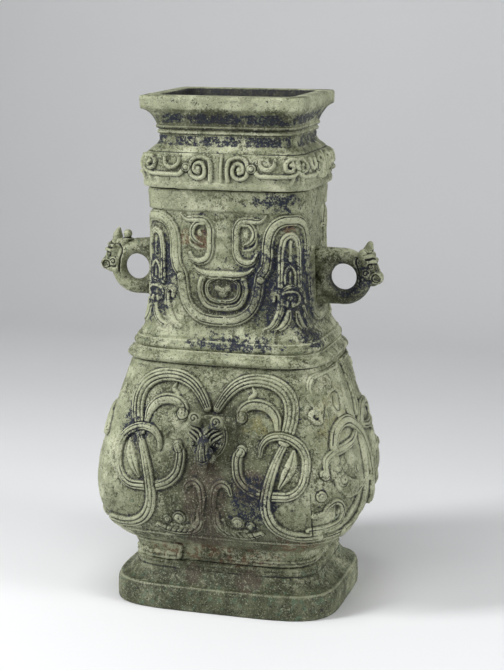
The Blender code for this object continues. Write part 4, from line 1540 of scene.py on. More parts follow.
    def panel(self, name: str, first: float, half_columns: int) -> bpy.types.Object:
        """Builds one closed panel, from corner to corner.

        Args:
            name: The panel's name.
            first: The place of its first corner round the wall.
            half_columns: How many columns half the panel takes.

        Returns:
            The panel.
        """
        rows = wall_rows([(self.profile, self.rows_step)])
        inner = np.arange(-self.extra, 2 * half_columns + self.extra + 1)
        chart = Chart(rows, first + inner / half_columns, closed=False)
        points, marks = self.carved(self.canvas(chart), closed=False)
        kept = slice(self.extra, -self.extra)
        self.skins.append(points[::3, kept][:, ::3])
        shell = Shell()
        outer = shell.add(points[:, kept], marks[:, kept])
        shell.grid(outer)
        coarse = Chart(self.inner_rows(rows, 24), first + np.linspace(0.0, 2.0, 21), closed=False)
        inside = shell.add(coarse.points, 1.0)
        shell.grid(inside[::-1])
        shell.stitch(outer[-1], inside[-1])
        shell.stitch(inside[0], outer[0])
        shell.stitch(inside[:, -1], outer[:, -1])
        shell.stitch(outer[:, 0], inside[:, 0])
        shell.seams = [outer[0], outer[-1], outer[:, 0], outer[:, -1]]
        return self.settle(shell.build(name, self.material))

    def build(self) -> list[bpy.types.Object]:
        """Builds the four panels.

        Returns:
            The front, right, back and left panels.
        """
        names = ("belly_front", "belly_right", "belly_back", "belly_left")
        return [
            self.panel(name, face.value - 1.0, count) for name, face, count in zip(names, Face, self.columns)
        ]


@dataclass
class Neck(Piece):
    """The tall neck with its wave of faces and tongues, the two rolls under it and the collar over it."""

    columns: tuple[int, ...] = (95, 70, 58, 56, 56, 48, 48, 95)
    wave_top: tuple[float, float] = (81.0, 462.8)
    wave_end: tuple[float, float] = (168.0, 345.5)
    wave_rise: Path = (
        (-4, 345.5), (8, 345.5), (20, 347.5), (31, 353.5), (39, 363), (43, 374), (45, 387), (47.5, 399),
        (52.5, 407), (54.5, 417), (55, 434), (57.5, 447), (64, 457), (72.5, 461.8),
    )

    def wave(self) -> Path:
        """Leads the wave from a face's middle up over the corner's tongue and down past it.

        Returns:
            The path.
        """
        middle = self.wave_top[0]
        fall = [(2.0 * middle - across, height) for across, height in self.wave_rise[:0:-1]]
        return [*self.wave_rise, self.wave_top, *fall, self.wave_end]

    def runs(self) -> list[Run]:
        """Gives the runs of the neck's profile, from the belly's shoulder to the mouth.

        Returns:
            The runs.
        """
        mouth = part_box("vessel")[1].z / MM
        roll = (
            Level(290, 118.9, 93, 4.35), Level(294.2, 117.2, 91.4, 4.35), Level(296, 118.2, 92.2, 4.3),
            Level(297.6, 121.2, 95, 4.3), Level(300, 122.6, 96.2, 4.3), Level(303.2, 121.2, 95, 4.3),
            Level(306.6, 117.4, 91.4, 4.35), Level(309.4, 114.2, 88.4, 4.4),
        )
        crease = (Level(310.8, 112.6, 86.8, 4.45), Level(312.2, 113.2, 87.4, 4.5))
        bead = (
            Level(314, 114.8, 89, 4.6), Level(316.2, 114.4, 88.8, 4.7), Level(319.4, 112, 86.6, 4.75),
            Level(322.2, 109.4, 84.2, 4.8),
        )
        step = (Level(323.8, 107.4, 82.4, 4.9), Level(325.8, 107.4, 82.4, 4.95))
        slope = (Level(330.8, 103.4, 79.4, 5.3), Level(338, 100.4, 77.3, 5.2))
        shaft = (
            Level(352, 97, 74.8, 5.35), Level(372, 95.2, 73.2, 5.4), Level(400, 94, 72.3, 5.5),
            Level(435, 92.8, 71.4, 5.5), Level(469, 92.3, 71, 5.5),
        )
        collar = (Level(470.6, 95.3, 74, 5.5),)
        rim = (Level(482, 95.6, 74.3, 5.5), Level(mouth - 1, 95.4, 74.1, 5.5), Level(mouth, 94.6, 73.3, 5.5))
        lengths = (1.4, 0.9, 1.35, 0.9, 1.8, 1.18, 0.8, 2.5)
        return list(zip((roll, crease, bead, step, slope, shaft, collar, rim), lengths))

    def face_work(self) -> list[Stroke | Boss]:
        """Draws the right half of a broad face: its eye, its shield and what stands beside them.

        Returns:
            The strokes and bosses.
        """
        return [
            Stroke(
                (
                    (50, 467), (44, 461.5), (32, 460.8), (21, 459.5), (15.8, 452), (15.2, 438), (15.6, 424),
                    (20, 415.5), (28, 412.5), (36, 415), (39.5, 422),
                ),
                8.2, 3.2, lines=(-0.5,), taper=(0.3, 0.8, 1, 1, 1, 1, 1, 0.4),
            ),
            Stroke(
                ((23, 456.5), (31, 456.5), (36.3, 450), (36.5, 442), (32, 436), (25, 432.5)), 6, 2.8,
                lines=(0.2,), taper=(0.8, 1, 1, 1, 0.4),
            ),
            Stroke(((40, 441), (38.5, 433), (32, 428), (24, 427)), 3.4, 2, taper=(0.4, 1, 0.4)),
            Boss((27.5, 445), 4.2, 1.7, stretch=0.8),
            Stroke(
                ((-2, 360), (8, 360.2), (18, 363), (25, 372), (27, 384), (24.5, 393)), 7, 3.2, lines=(0.35,),
            ),
            Stroke(
                ((-2, 367.6), (8, 367.8), (15.5, 371.5), (19.3, 379.5), (18, 388), (12, 392), (5, 390.5)),
                4.6, 2.7, lines=(0,), taper=(1, 1, 1, 0.8, 0.4),
            ),
            Stroke(((-6, 382.5), (0, 380.5), (6, 382.5)), 8.6, 3.6, dome=0.9, edge=3),
            Boss((0, 377.5), 5.8, 3.4),
            Stroke(
                ((60, 371), (59.5, 378.5), (65.5, 380.5), (68, 370), (66, 355), (58, 340.5), (50, 337)), 8.4,
                3, lines=(0, 0.62), taper=(0.5, 0.8, 1, 1, 1, 0.5),
            ),
        ]

    def corner_work(self) -> list[Stroke | Boss]:
        """Draws the tongue, the flower and the flames on a corner, as seen from a broad face.

        Returns:
            The strokes and bosses.
        """
        flame = (0.6, 1.0, 0.8, 0.35)
        return [
            Stroke(
                (
                    (69.8, 388), (70, 410), (70.8, 431), (74, 442), (80.5, 446), (87, 442), (90.2, 431),
                    (91, 410), (92.2, 388),
                ),
                6.4, 3.3, lines=(0,),
            ),
            Stroke(((74.5, 391), (75.2, 404), (80.5, 410.5), (85.8, 404), (86.6, 391)), 3.2, 2.6),
            Stroke(((80.5, 391), (80.5, 404)), 2.6, 1.6),
            Stroke(((80.5, 417), (80.5, 438)), 3.6, 1.6),
            Stroke(
                ((69, 376), (73, 383.5), (81, 387.5), (90, 385.5), (98, 378), (104, 367)), 5.4, 3,
                lines=(0.1,), taper=(0.4, 0.9, 1, 1, 0.5),
            ),
            Stroke(
                (
                    (77.5, 365.5), (71.5, 368), (69.8, 374), (73.5, 380), (81, 381.8), (88.5, 380),
                    (92.2, 374), (90.5, 368), (84.5, 365.5),
                ),
                3.6, 2.9,
            ),
            Boss((77.5, 368.3), 2.8, 2.8),
            Boss((84.5, 368.3), 2.8, 2.8),
            Boss((81, 374), 3.6, 2),
            Stroke(((80, 359), (78.5, 350), (73, 341.5), (66, 337.5)), 8.6, 3.2, lines=(0.35,), taper=flame),
            Stroke(((90, 357), (92, 349), (97, 341.5), (104, 337.5)), 8.6, 3.2, lines=(-0.35,), taper=flame),
            Stroke(((99, 363), (103, 352), (110, 342), (117, 338)), 7.4, 3, lines=(0,), taper=flame),
        ]

    def canvas(self, chart: Chart) -> Canvas:
        """Lays all the neck's carving.

        Args:
            chart: A chart of the neck.

        Returns:
            The carving.
        """
        canvas = Canvas(chart)
        mouth_bar = Stroke(
            ((-31.5, 406), (-26, 401.5), (-18, 398.5), (3, 398), (24, 398.5), (33, 401.5), (39, 407)), 9.4,
            3.2, lines=(-0.45,), taper=(0.2, 0.8, 1, 1, 1, 0.8, 0.2),
        )
        wave = Stroke(self.wave(), 12.2, 3.6, lines=(-0.66, 0.66), dome=0.25, layer=Layer.OVER)
        curl = Stroke(((24, 446), (36, 444), (38, 428), (30, 420), (22, 426)), 5, 2.6, lines=(0,))
        for face in (Face.FRONT, Face.BACK):
            canvas.draw_all(face, moved(self.face_work(), 2.6), (1,))
            canvas.draw_all(face, moved(self.face_work(), -2.6), (-1,))
            canvas.draw_all(face, self.corner_work())
            canvas.draw(face, mouth_bar)
            canvas.draw_all(face, [wave])
            canvas.boss(face, Boss((47.5, 394.5), 4.8, 7, pupil=1.2), -1)
            canvas.boss(face, Boss((47.5, 394.5), 4.4, 6, pupil=1), 1)
            canvas.boss(face, Boss((0, 397.5), 3.6, 4.2))
        for face in (Face.RIGHT, Face.LEFT):
            canvas.draw_all(face, [curl])
        for height in (309.8, 321.6):
            canvas.girdle(125.0, height, 2.8, rise=1.4, dome=0.9)
        for height, width in ((295.0, 1.8), (469.6, 0.9)):
            canvas.girdle(125.0, height, width, layer=Layer.CUT)
        return canvas

    def build(self) -> bpy.types.Object:
        """Builds the neck as one closed ring.

        Returns:
            The neck.
        """
        rows = wall_rows(self.runs())
        chart = Chart(rows, shares_round(self.columns), closed=True)
        points, marks = self.carved(self.canvas(chart), closed=True)
        coarse = Chart(self.inner_rows(rows, 26), shares_round((9,) * 8), closed=True)
        self.skins.append(points[::3, ::3])
        shell = Shell()
        outer = shell.add(points, marks)
        inside = shell.add(coarse.points, 1.0)
        shell.loft([*outer, *inside[::-1], outer[0]])
        shell.seams = [outer[0], outer[-1]]
        return self.settle(shell.build("neck", self.material))


@dataclass
class Foot(Piece):
    """The ring foot: a broad base band, a sloping shoulder, two thin ridges, and the hollow under it."""

    columns: tuple[int, ...] = (66, 50, 46, 46, 46, 40, 40, 66)
    floor_top: float = 72.0

    def runs(self) -> list[Run]:
        """Gives the runs of the foot's profile, from the ground to the belly.

        Returns:
            The runs.
        """
        base = (
            Level(0, 134.8, 103, 4.6), Level(0.8, 136, 104.1, 4.6), Level(4, 136.4, 104.5, 4.6),
            Level(18, 136.3, 104.4, 4.6), Level(26, 135.6, 103.8, 4.6), Level(29.4, 132.4, 101, 4.6),
        )
        slope = (
            Level(32, 126, 95.8, 4.6), Level(37, 120.6, 91.6, 4.7), Level(43, 116.2, 88.4, 4.7),
            Level(49.6, 113.3, 86.4, 4.75),
        )
        bead = (
            Level(52, 114.8, 87.6, 4.75), Level(54.4, 113.2, 86.2, 4.75), Level(56.6, 109.8, 83.4, 4.8),
            Level(58.6, 111, 84.4, 4.8),
        )
        stem = (Level(61, 112.4, 85.8, 4.8), Level(63.6, 111.8, 85.6, 4.8), Level(66, 109.8, 84.8, 4.8))
        return [(base, 1.9), (slope, 1.7), (bead, 1.25), (stem, 1.3)]

    @staticmethod
    def block(height: float, width: float) -> Stroke:
        """A part of the rough raised block at the stem's left, which runs up on to the belly."""
        return Stroke(((-108, height), (-52, height)), width, 3.6, dome=0, edge=1.2)

    def canvas(self, chart: Chart) -> Canvas:
        """Lays the raised rough block, the repair plates and the ridges and grooves.

        Args:
            chart: A chart of the foot.

        Returns:
            The carving.
        """
        canvas = Canvas(chart)
        canvas.draw(Face.FRONT, self.block(64.0, 13.0))
        lumps = (
            ((-101, 62), 6.5), ((-92, 70), 7), ((-84, 60.5), 6), ((-76, 68), 7.5), ((-65, 61), 6.5),
            ((-60, 70), 6.5),
        )
        for place, radius in lumps:
            canvas.boss(Face.FRONT, Boss(place, radius, 5.2))
        for across in (-94.0, -81.0, -67.0, -51.6):
            canvas.draw(Face.FRONT, Stroke(((across, 57), (across + 1.2, 70)), 1.5, layer=Layer.CUT))
        canvas.draw(Face.FRONT, Stroke(((-40, 38), (-26, 38)), 14, 0.35, dome=0))
        canvas.draw(Face.FRONT, Stroke(((24, 40), (50, 40)), 18, 0.45, dome=0))
        canvas.girdle(125.0, 28.6, 3.2, rise=1.3, dome=0.9)
        for height, width in ((46.8, 0.9), (52.0, 0.8), (56.6, 1.1), (61.4, 0.8), (65.6, 0.9)):
            canvas.girdle(125.0, height, width, layer=Layer.CUT)
        return canvas

    def build(self) -> bpy.types.Object:
        """Builds the foot with the vessel's floor.

        Returns:
            The foot.
        """
        rows = wall_rows(self.runs())
        chart = Chart(rows, shares_round(self.columns), closed=True)
        points, marks = self.carved(self.canvas(chart), closed=True)
        points[..., 2] = np.maximum(points[..., 2], 0.0)
        self.skins.append(points[3::2, ::2])
        inset = self.wall
        recess = np.array(
            [
                (60, 109.5 - inset, 84.5 - inset, 4.8), (44, 114.5 - inset, 87 - inset, 4.7),
                (32, 119 - inset, 90.6 - inset, 4.7), (20, 129.5 - inset, 98.6 - inset, 4.6),
                (0, 136.4 - 1.6 * inset, 104.5 - 1.6 * inset, 4.6),
            ],
        )
        coarse = shares_round((12,) * 8)
        below = Chart(recess, coarse, closed=True)
        floor = np.array([(66.0, 107.0, 82.0, 4.8), (self.floor_top, 106.5, 81.5, 4.8)])
        above = Chart(floor, coarse, closed=True)
        shell = Shell()
        under = shell.add(below.points, 1.0)
        outer = shell.add(points, marks)
        top = shell.add(above.points, 1.0)
        shell.loft([*under, *outer, *top])
        shell.cap(under[0][::-1])
        shell.cap(top[-1])
        shell.seams = [outer[-1]]
        return self.settle(shell.build("foot", self.material))


@dataclass
class Lid(Piece):
    """The lid: flange, carved shoulder, waist, flaring crown with its dish, and the tongue under it."""

    node: str = "lid"
    slot: str = "lid_bronze"
    columns: tuple[int, ...] = (98, 74, 66, 64, 64, 52, 52, 98)
    side_share: float = 0.80
    spiral: Path = (
        (10.5, 506.5), (9.8, 519), (12, 528.5), (21, 531.8), (30.5, 529.5), (34, 520.5), (31.5, 511.5),
        (24, 508.6), (17.6, 512), (16.6, 520), (21.5, 525.6), (27.6, 523.6), (28.4, 517.4), (24, 515.4),
    )
    beast: Path = (
        (43, 516.5), (46.5, 513.2), (56, 512.4), (72, 512.4), (83, 513.2), (90.2, 516.8), (92.2, 524),
        (88.4, 530.4), (81.5, 531), (77, 526), (78.5, 519.8), (84.5, 518.8), (86.4, 523.6), (83, 525.6),
    )
    hook: Path = ((47.5, 530), (48.2, 524.5), (52, 521), (58, 520), (63.5, 523.5), (64.8, 531))

    def runs(self) -> list[Run]:
        """Gives the runs of the lid's profile, from its seat to its lip.

        Returns:
            The runs.
        """
        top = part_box("lid")[1].z / MM
        seat = (
            Level(494.3, 98.2, 76.9, 5.5), Level(495.2, 99.4, 78.1, 5.5), Level(502.6, 100.3, 78.8, 5.5),
            Level(503.8, 99.3, 77.9, 5.55),
        )
        band = (
            Level(506, 99.5, 78.1, 5.6), Level(514, 101.2, 79.4, 5.7), Level(522, 100.9, 79, 5.8),
            Level(530, 98.8, 77.2, 5.9), Level(535.6, 95, 74.4, 6),
        )
        waist = (Level(540, 89.6, 70.8, 6.1), Level(544, 84.6, 67.8, 6.2), Level(548.3, 82, 66.2, 6.3))
        flare = (
            Level(556, 82.2, 66.6, 6.8), Level(566, 84, 68.2, 7.6), Level(574, 86.8, 70.8, 9),
            Level(580.5, 90.4, 74, 12), Level(584, 94, 77.6, 17),
        )
        lip = (
            Level(585.2, 95.6, 79.2, 22), Level(592, 95.9, 79.5, 24), Level(top - 1.6, 95.6, 79.2, 24),
            Level(top - 0.5, 94.6, 78.2, 24),
        )
        return [(seat, 1.5), (band, 0.86), (waist, 1.7), (flare, 1.45), (lip, 1.5)]

    def half_work(self, squeeze: float) -> list[Stroke | Boss]:
        """The spiral and the little beast of one half of a face.

        Args:
            squeeze: How wide the drawing is, as a share of the front's.

        Returns:
            The strokes and bosses.
        """
        thread, soft = 4.8, {"dome": 0.6, "edge": 1.7}
        drawn = (self.spiral, self.beast, self.hook)
        spiral, beast, hook = ([(across * squeeze, height) for across, height in path] for path in drawn)
        return [
            Stroke(spiral, thread, 3.5, **soft),
            Stroke(beast, thread, 3.5, **soft),
            Stroke(hook, thread, 3.3, taper=(0.6, 1, 1, 0.6), **soft),
            Boss((38.5 * squeeze, 520.5), 5.2, 4.4, ring=0.6),
            Boss((24.5 * squeeze, 519), 3.8, 3.4),
            Stroke(((97.5 * squeeze, 505), (96.5 * squeeze, 532)), thread, 2.3, dome=0.6),
        ]

    def canvas(self, chart: Chart) -> Canvas:
        """Lays all the lid's carving.

        Args:
            chart: A chart of the lid.

        Returns:
            The carving.
        """
        canvas = Canvas(chart)
        for face in (Face.FRONT, Face.BACK):
            canvas.draw_all(face, self.half_work(1.0))
        for face in (Face.RIGHT, Face.LEFT):
            canvas.draw_all(face, self.half_work(self.side_share))
        for face in Face:
            canvas.draw(face, Stroke(((2.6, 505.5), (2.6, 534)), 3.6, 2.4, dome=0.6))
        for height, width in ((494.6, 1.6), (536.4, 0.9), (554.7, 1.1), (560.8, 1.1)):
            canvas.girdle(110.0, height, width, layer=Layer.CUT)
        for start in (-34.0, -30.5, -27.5):
            canvas.draw(Face.FRONT, Stroke(((start, 594), (start + 4.5, 591)), 1, layer=Layer.CUT))
        return canvas

    def build(self) -> bpy.types.Object:
        """Builds the lid as one closed casting.

        Returns:
            The lid.
        """
        rows = wall_rows(self.runs())
        chart = Chart(rows, shares_round(self.columns), closed=True)
        points, marks = self.carved(self.canvas(chart), closed=True)
        low, top = (corner.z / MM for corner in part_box("lid"))
        points[..., 2] = np.minimum(points[..., 2], top)
        coarse = shares_round((14,) * 8)
        bowl = [
            (top, 92, 75.6, 24), (top, 80, 63.6, 14), (top - 1.5, 78.2, 61.9, 12), (top - 16, 77.6, 61.4, 9),
            (570, 78, 61.6, 7.4), (550, 77.2, 61.4, 6.4), (546, 76.4, 60.8, 6.3), (545.3, 72, 57, 6.3),
        ]
        hidden = [
            (540.3, 75, 59.8, 6.3), (532, 91, 70.5, 6), (520, 95.8, 73.8, 5.7), (505, 95, 73.2, 5.5),
            (500, 86, 64.8, 5.5), (498, 81.8, 60.5, 5.5), (low + 0.4, 81.8, 60.5, 5.5),
            (low, 82.4, 61.1, 5.5), (low, 85.2, 63.9, 5.5), (low + 0.6, 85.8, 64.5, 5.5),
            (494.3, 85.8, 64.5, 5.5),
        ]
        dish = Chart(np.array(bowl), coarse, closed=True)
        beneath = Chart(np.array(hidden), coarse, closed=True)
        shell = Shell()
        under = shell.add(beneath.points, 1.0)
        outer = shell.add(points, marks)
        inside = np.vstack([shell.add(dish.points[:2]), shell.add(dish.points[2:], 1.0)])
        shell.loft([*under, *outer, *inside])
        shell.cap(under[0][::-1])
        shell.cap(inside[-1])
        shell.seams = [inside[-1], under[0]]
        return self.settle(shell.build("lid_casting", self.material))


@dataclass(frozen=True)
class Lump:
    """A rounded mass in a casting's own frame: its middle, its half sizes and a turn in degrees."""

    middle: Spot
    radii: Spot
    turn: float = 0.0
    axis: str = "Y"


@dataclass(frozen=True)
class Limb:
    """A round limb along a path, with its half thickness from end to end."""

    path: Sequence[Spot]
    radii: tuple[float, ...]
    flatten: float = 1.0
    closed: bool = False


@dataclass(frozen=True)
class Crease:
    """A ridge raised along a path in space, or a groove where the rise is negative."""

    path: Sequence[Spot]
    width: float
    rise: float
    closed: bool = False


def round_turns(count: int) -> list[float]:
    """Evenly spaced turns of a full circle, in radians."""
    return [math.tau * step / count for step in range(count)]


def whorl(
    middle: Spot, radius: float, turns: Sequence[float], pull: float = 0.0, flat: bool = False
) -> list[Spot]:
    """Lays out a circle, or a spiral that draws in.

    Args:
        middle: Its middle.
        radius: Its radius at turn 0.
        turns: The turns of its points, in radians.
        pull: How much the radius shrinks with each radian.
        flat: Whether it lies along X and Y, and not upright along X and Z.

    Returns:
        The points.
    """
    x, y, z = middle
    points = []
    for turn in turns:
        reach = radius - pull * abs(turn)
        across, along = reach * math.cos(turn), reach * math.sin(turn)
        points.append((x + across, y + along, z) if flat else (x + across, y, z + along))
    return points


@dataclass
class Sculpture(Piece):
    """A modelled form, fused from lumps and limbs and then worked with creases.

    The skin is settled by averaging. Its hollows are read against a skin that is averaged further, and the
    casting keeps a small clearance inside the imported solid's box.
    """

    voxel: float = 1.0
    settling: int = 3
    bead: float = 1.3
    fineness: dict[type, int] = field(default_factory=lambda: {Lump: 4, Limb: 3})
    crease_reach: float = 1.6
    surroundings: int = 5
    hollow_contrast: float = 1.7
    line_strength: float = 0.9
    unevenness: float = 0.8
    clearance: float = 0.2

    def spheres(self, mass: Lump | Limb) -> list[Lump]:
        """The spheres that a mass is made of.

        Args:
            mass: A lump, which is one of them, or a limb, which is a string of them.

        Returns:
            The spheres.
        """
        if isinstance(mass, Lump):
            return [mass]
        path = smooth_curve(mass.path, self.bead, mass.closed)
        stops = np.linspace(0.0, 1.0, len(mass.radii)) if len(mass.radii) > 1 else [0.0]
        radii = np.interp(np.linspace(0.0, 1.0, len(path)), stops, mass.radii)
        return [Lump(tuple(p), (r, r * mass.flatten, r)) for p, r in zip(path, radii)]

    def fused(self, masses: Sequence[Lump | Limb]) -> bpy.types.Mesh:
        """Fuses masses into one closed skin.

        Args:
            masses: The lumps and limbs.

        Returns:
            The skin, in the casting's own frame.
        """
        balls = {kind: unit_ball(detail) for kind, detail in self.fineness.items()}
        points, faces, count = [], [], 0
        for mass in masses:
            ball, corners = balls[type(mass)]
            for lump in self.spheres(mass):
                turn = np.array(Matrix.Rotation(math.radians(lump.turn), 3, lump.axis))
                points.append((ball * lump.radii) @ turn.T + lump.middle)
                faces.append(corners + count)
                count += len(ball)
        draft = mesh_object("lumps", np.vstack(points) * MM, np.vstack(faces).tolist(), None)
        fusing = draft.modifiers.new("fusing", "REMESH")
        fusing.mode = "VOXEL"
        fusing.voxel_size = self.voxel * MM
        return baked_mesh(draft)

    @staticmethod
    def snapped(path: np.ndarray, points: np.ndarray, reach: int = 2) -> np.ndarray:
        """Drops a path on a skin.

        Args:
            path: The path.
            points: The skin's points.
            reach: How many neighbours on each side each stop is averaged with.

        Returns:
            The path along the nearest points, evened out.
        """
        nearest = [int(((points - stop) ** 2).sum(axis=1).argmin()) for stop in path]
        padded = np.pad(points[nearest], ((reach, reach), (0, 0)), mode="edge")
        size = 2 * reach + 1
        return sum(padded[start : start + len(path)] for start in range(size)) / float(size)

    def worked(self, mesh: bpy.types.Mesh, creases: Sequence[Crease]) -> tuple[np.ndarray, ...]:
        """Settles a skin and cuts its creases.

        Args:
            mesh: The skin.
            creases: Its ridges and grooves.

        Returns:
            The points in millimetres in the casting's frame, their hollows and their lines.
        """
        ends = np.empty(2 * len(mesh.edges), dtype=np.int32)
        mesh.edges.foreach_get("vertices", ends)
        ends = ends.reshape(-1, 2)
        points = vertex_array(mesh) / MM
        for _ in range(self.settling):
            points = averaged(points, ends)
        normals = vertex_normals(mesh, points * MM)
        rise, lines = np.zeros(len(points)), np.zeros(len(points))
        for crease in creases:
            path = self.snapped(smooth_curve(crease.path, PATH_STEP, crease.closed), points)
            reach = crease.width * self.crease_reach
            inside = (points > path.min(axis=0) - reach) & (points < path.max(axis=0) + reach)
            near = np.flatnonzero(inside.all(axis=1))
            if not len(near):
                continue
            apart = np.linalg.norm(points[near][:, None] - path[None], axis=2).min(axis=1)
            mark = soft_mark(apart, crease.width / 2.0)
            rise[near] += crease.rise * mark
            if crease.rise < 0.0:
                lines[near] = np.maximum(lines[near], mark)
        points = points + normals * rise[:, None]
        wide = points
        for _ in range(self.surroundings):
            wide = averaged(wide, ends)
        hollow = np.clip(((wide - points) * normals).sum(axis=1) * self.hollow_contrast, -1.0, 1.0)
        return points, hollow, lines * self.line_strength

    def cast(
        self,
        name: str,
        masses: Sequence[Lump | Limb],
        creases: Sequence[Crease],
        frame: tuple[np.ndarray, np.ndarray],
        limits: tuple[np.ndarray, np.ndarray],
    ) -> bpy.types.Object:
        """Makes one sculpted casting.

        Args:
            name: Its name.
            masses: Its lumps and limbs.
            creases: Its ridges and grooves.
            frame: Its middle, and its axes as rows.
            limits: The lowest and highest numbers that a point may have in its own frame.

        Returns:
            The piece.
        """
        mesh = self.fused(masses)
        points, hollow, lines = self.worked(mesh, creases)
        points = np.clip(points, *limits)
        middle, axes = frame
        placed = middle + points @ axes
        normals = vertex_normals(mesh, points * MM) @ axes
        placed = placed + normals * (self.unevenness * self.ground(placed))[:, None]
        low, high = (np.array(corner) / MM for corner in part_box(self.node))
        placed = np.clip(placed, low + self.clearance, high - self.clearance)
        faces = [tuple(face.vertices) for face in mesh.polygons]
        bpy.data.meshes.remove(mesh)
        item = mesh_object(name, placed * MM, faces, self.material)
        mark_surface(item.data, hollow, lines)
        return self.settle(item)


@dataclass
class Handle(Sculpture):
    """A loop handle with an animal's head, whose snout rolls up, on the outer side of the loop."""

    side: int = 1
    hole_height: float = 390.5
    hole_radius: float = 15.0
    thickness: float = 18.0
    snout_reach: float = 46.8
    bar_depth: float = 34.0
    curl: float = 5.0
    lift: float = 3.0

    def loop(self) -> list[Lump | Limb]:
        """Models the ring, squared where it meets the neck.

        Returns:
            The lumps and limbs.
        """
        ring = whorl((0.0, 0.0, 0.0), self.hole_radius + self.thickness / 2.0, round_turns(16))
        reach = -self.bar_depth + 5.0
        top = 0.0 if self.side > 0 else 2.0
        return [
            Limb(ring, (self.thickness / 2,), flatten=1.16, closed=True),
            Limb(((reach, 0, -26.5), (reach + 3, 0, 0), (reach, 0, 26.5 + top)), (8.4,), flatten=1.05),
            Limb(
                ((reach, 0, 26 + top), (-16, 0, 25.4 + top), (0, 0, 24.6 + top / 2)), (8, 8.6), flatten=1.08,
            ),
            Limb(((reach, 0, -26), (-16, 0, -24.6), (0, 0, -24.2)), (8.2, 8.6), flatten=1.08),
        ]

    def snout_middle(self) -> tuple[float, float]:
        """The middle of the rolled snout: how far out and how high it is."""
        return self.snout_reach - self.curl - 3.0, self.lift - 2.6

    def head(self) -> list[Lump | Limb]:
        """Models the skull, muzzle, jaw and rolled snout.

        Returns:
            The lumps and limbs.
        """
        out, up = self.snout_middle()
        snout = whorl((out, 0.0, up), self.curl, round_turns(10))
        parts: list[Lump | Limb] = [
            Lump((27.5, 0, 20), (11, 12.4, 12.5), -14),
            Lump((33.5, 0, 12), (7.2, 9, 10), -6),
            Lump((31, 0, up + 0.1), (9.5, 8, 7)),
            Lump((30.5, 0, up - 6.4), (8.8, 6.4, 3.4), 14),
            Limb(snout, (3,), flatten=2.3, closed=True),
            Lump((out, 0, up), (3.4, 3.6, 3.4)),
            Limb(((36.5, 0, 13), (38.6, 0, 9), (39.6, 0, up + 3.6)), (4.2, 3.4), flatten=1.4),
        ]
        for near in (1, -1):
            brow = ((34.6, 2.2 * near, 25.4), (32.8, 8.2 * near, 26.2), (26.6, 12.6 * near, 24.8))
            lid = ((37.6, 2.4 * near, 18.8), (36.4, 8.0 * near, 20.2), (30.4, 12.4 * near, 19.0))
            parts += [
                Limb(brow, (2.5, 3, 2)),
                Limb(lid, (2.2, 2.7, 1.9)),
                Lump((33.6, 8.8 * near, 14), (3.6, 3.2, 3.6)),
                Lump((28, 9.4 * near, 6), (5.4, 3.2, 5.6)),
            ]
        return parts

    def ears(self) -> list[Lump | Limb]:
        """Models two pointed ears on the right handle, and a leaf ear and a collared ball on the left one.

        Returns:
            The lumps and limbs.
        """
        if self.side > 0:
            return [
                Limb(
                    (
                        (25, 8.4 * near, 26.5), (26 + near, 11 * near, 30.5 + 1.2 * near),
                        (26.8 + 1.5 * near, 12 * near, 34 + 3 * near),
                    ),
                    (6.6, 6, 4),
                ) for near in (1, -1)
            ]
        return [
            Limb(((26.5, -4.2, 26), (27.2, -5, 35), (25.6, -5.2, 43.4)), (6.8, 6, 2.4), flatten=1.15),
            Lump((10.6, 4.6, 39.6), (5.3, 5.3, 5.1)),
            Lump((11, 4.2, 34), (6.4, 6.2, 1.9)),
            Limb(((20, 6, 28), (14, 5, 30.4)), (6, 5)),
        ]

    def creases(self) -> list[Crease]:
        """Draws the lines of the eyes, lids, cheeks, mouth and snout.

        Returns:
            The ridges and grooves.
        """
        cuts = []
        out, up = self.snout_middle()
        circle = round_turns(9)
        for near in (1.0, -1.0):
            eye = whorl((33.8, 12.0 * near, 14.0), 3.5, circle)
            cheek = whorl((28.0, 12.6 * near, 6.0), 4.6, np.arange(0.0, 7.2, 0.6), pull=0.5)
            nostril = whorl((out, 7.6 * near, up), 6.4, -np.arange(0.0, 9.0, 0.5), pull=0.62)
            upper_jaw = ((18.6, 11.2 * near, 28.0), (16.4, 12.0 * near, 20.0))
            lower_jaw = ((18.6, 11.6 * near, 8.0), (20.0, 10.4 * near, -6.0))
            cuts += [
                Crease(eye, 1.9, -1.3, closed=True),
                Crease(((33.8, 12 * near, 14), (34.2, 12 * near, 14.2)), 1.6, -1),
                Crease(cheek, 2, -1.4),
                Crease(nostril, 2, -1.5),
                Crease(
                    ((36.4, 2.2 * near, 22.2), (34.8, 8.6 * near, 23.2), (28, 12.8 * near, 22)), 2.2, -1.6,
                ),
                Crease(((33, 2 * near, 29.4), (31, 8 * near, 29.8), (25, 12 * near, 28.2)), 2, -1.3),
                Crease(((39, 2.2 * near, 16), (37.2, 8 * near, 17.4), (31.4, 12 * near, 16.6)), 2, -1.3),
                Crease(
                    ((41, 6 * near, up - 5.6), (34, 7.6 * near, up - 4), (25, 8.8 * near, up - 1.6)), 2.3, -2,
                ),
                Crease(
                    ((37, 8 * near, up + 6.6), (33, 9.6 * near, up + 4), (32, 9.4 * near, up - 1.4)), 2, -1.4,
                ),
                Crease(((40.6, 3 * near, 13), (42, 3.2 * near, 8)), 1.8, -1.1),
                Crease(
                    ((30.4, 10.6 * near, 29.5), (30.8, 12.4 * near, 34), (30.2, 13 * near, 39)), 2.8, -1.8,
                ),
                Crease(upper_jaw + lower_jaw, 2.2, -1.5),
            ]
        if self.side < 0:
            collar = whorl((10.8, 4.4, 36.0), 5.8, circle, flat=True)
            cuts += [
                Crease(collar, 1.8, -1.3, closed=True),
                Crease(((31, -9, 29), (32, -9.6, 35), (28.6, -9, 41)), 2, -1.4),
                Crease(((24, -10.4, 29), (24, -10.8, 35), (24.4, -9, 40)), 1.8, -1.2),
            ]
        return cuts

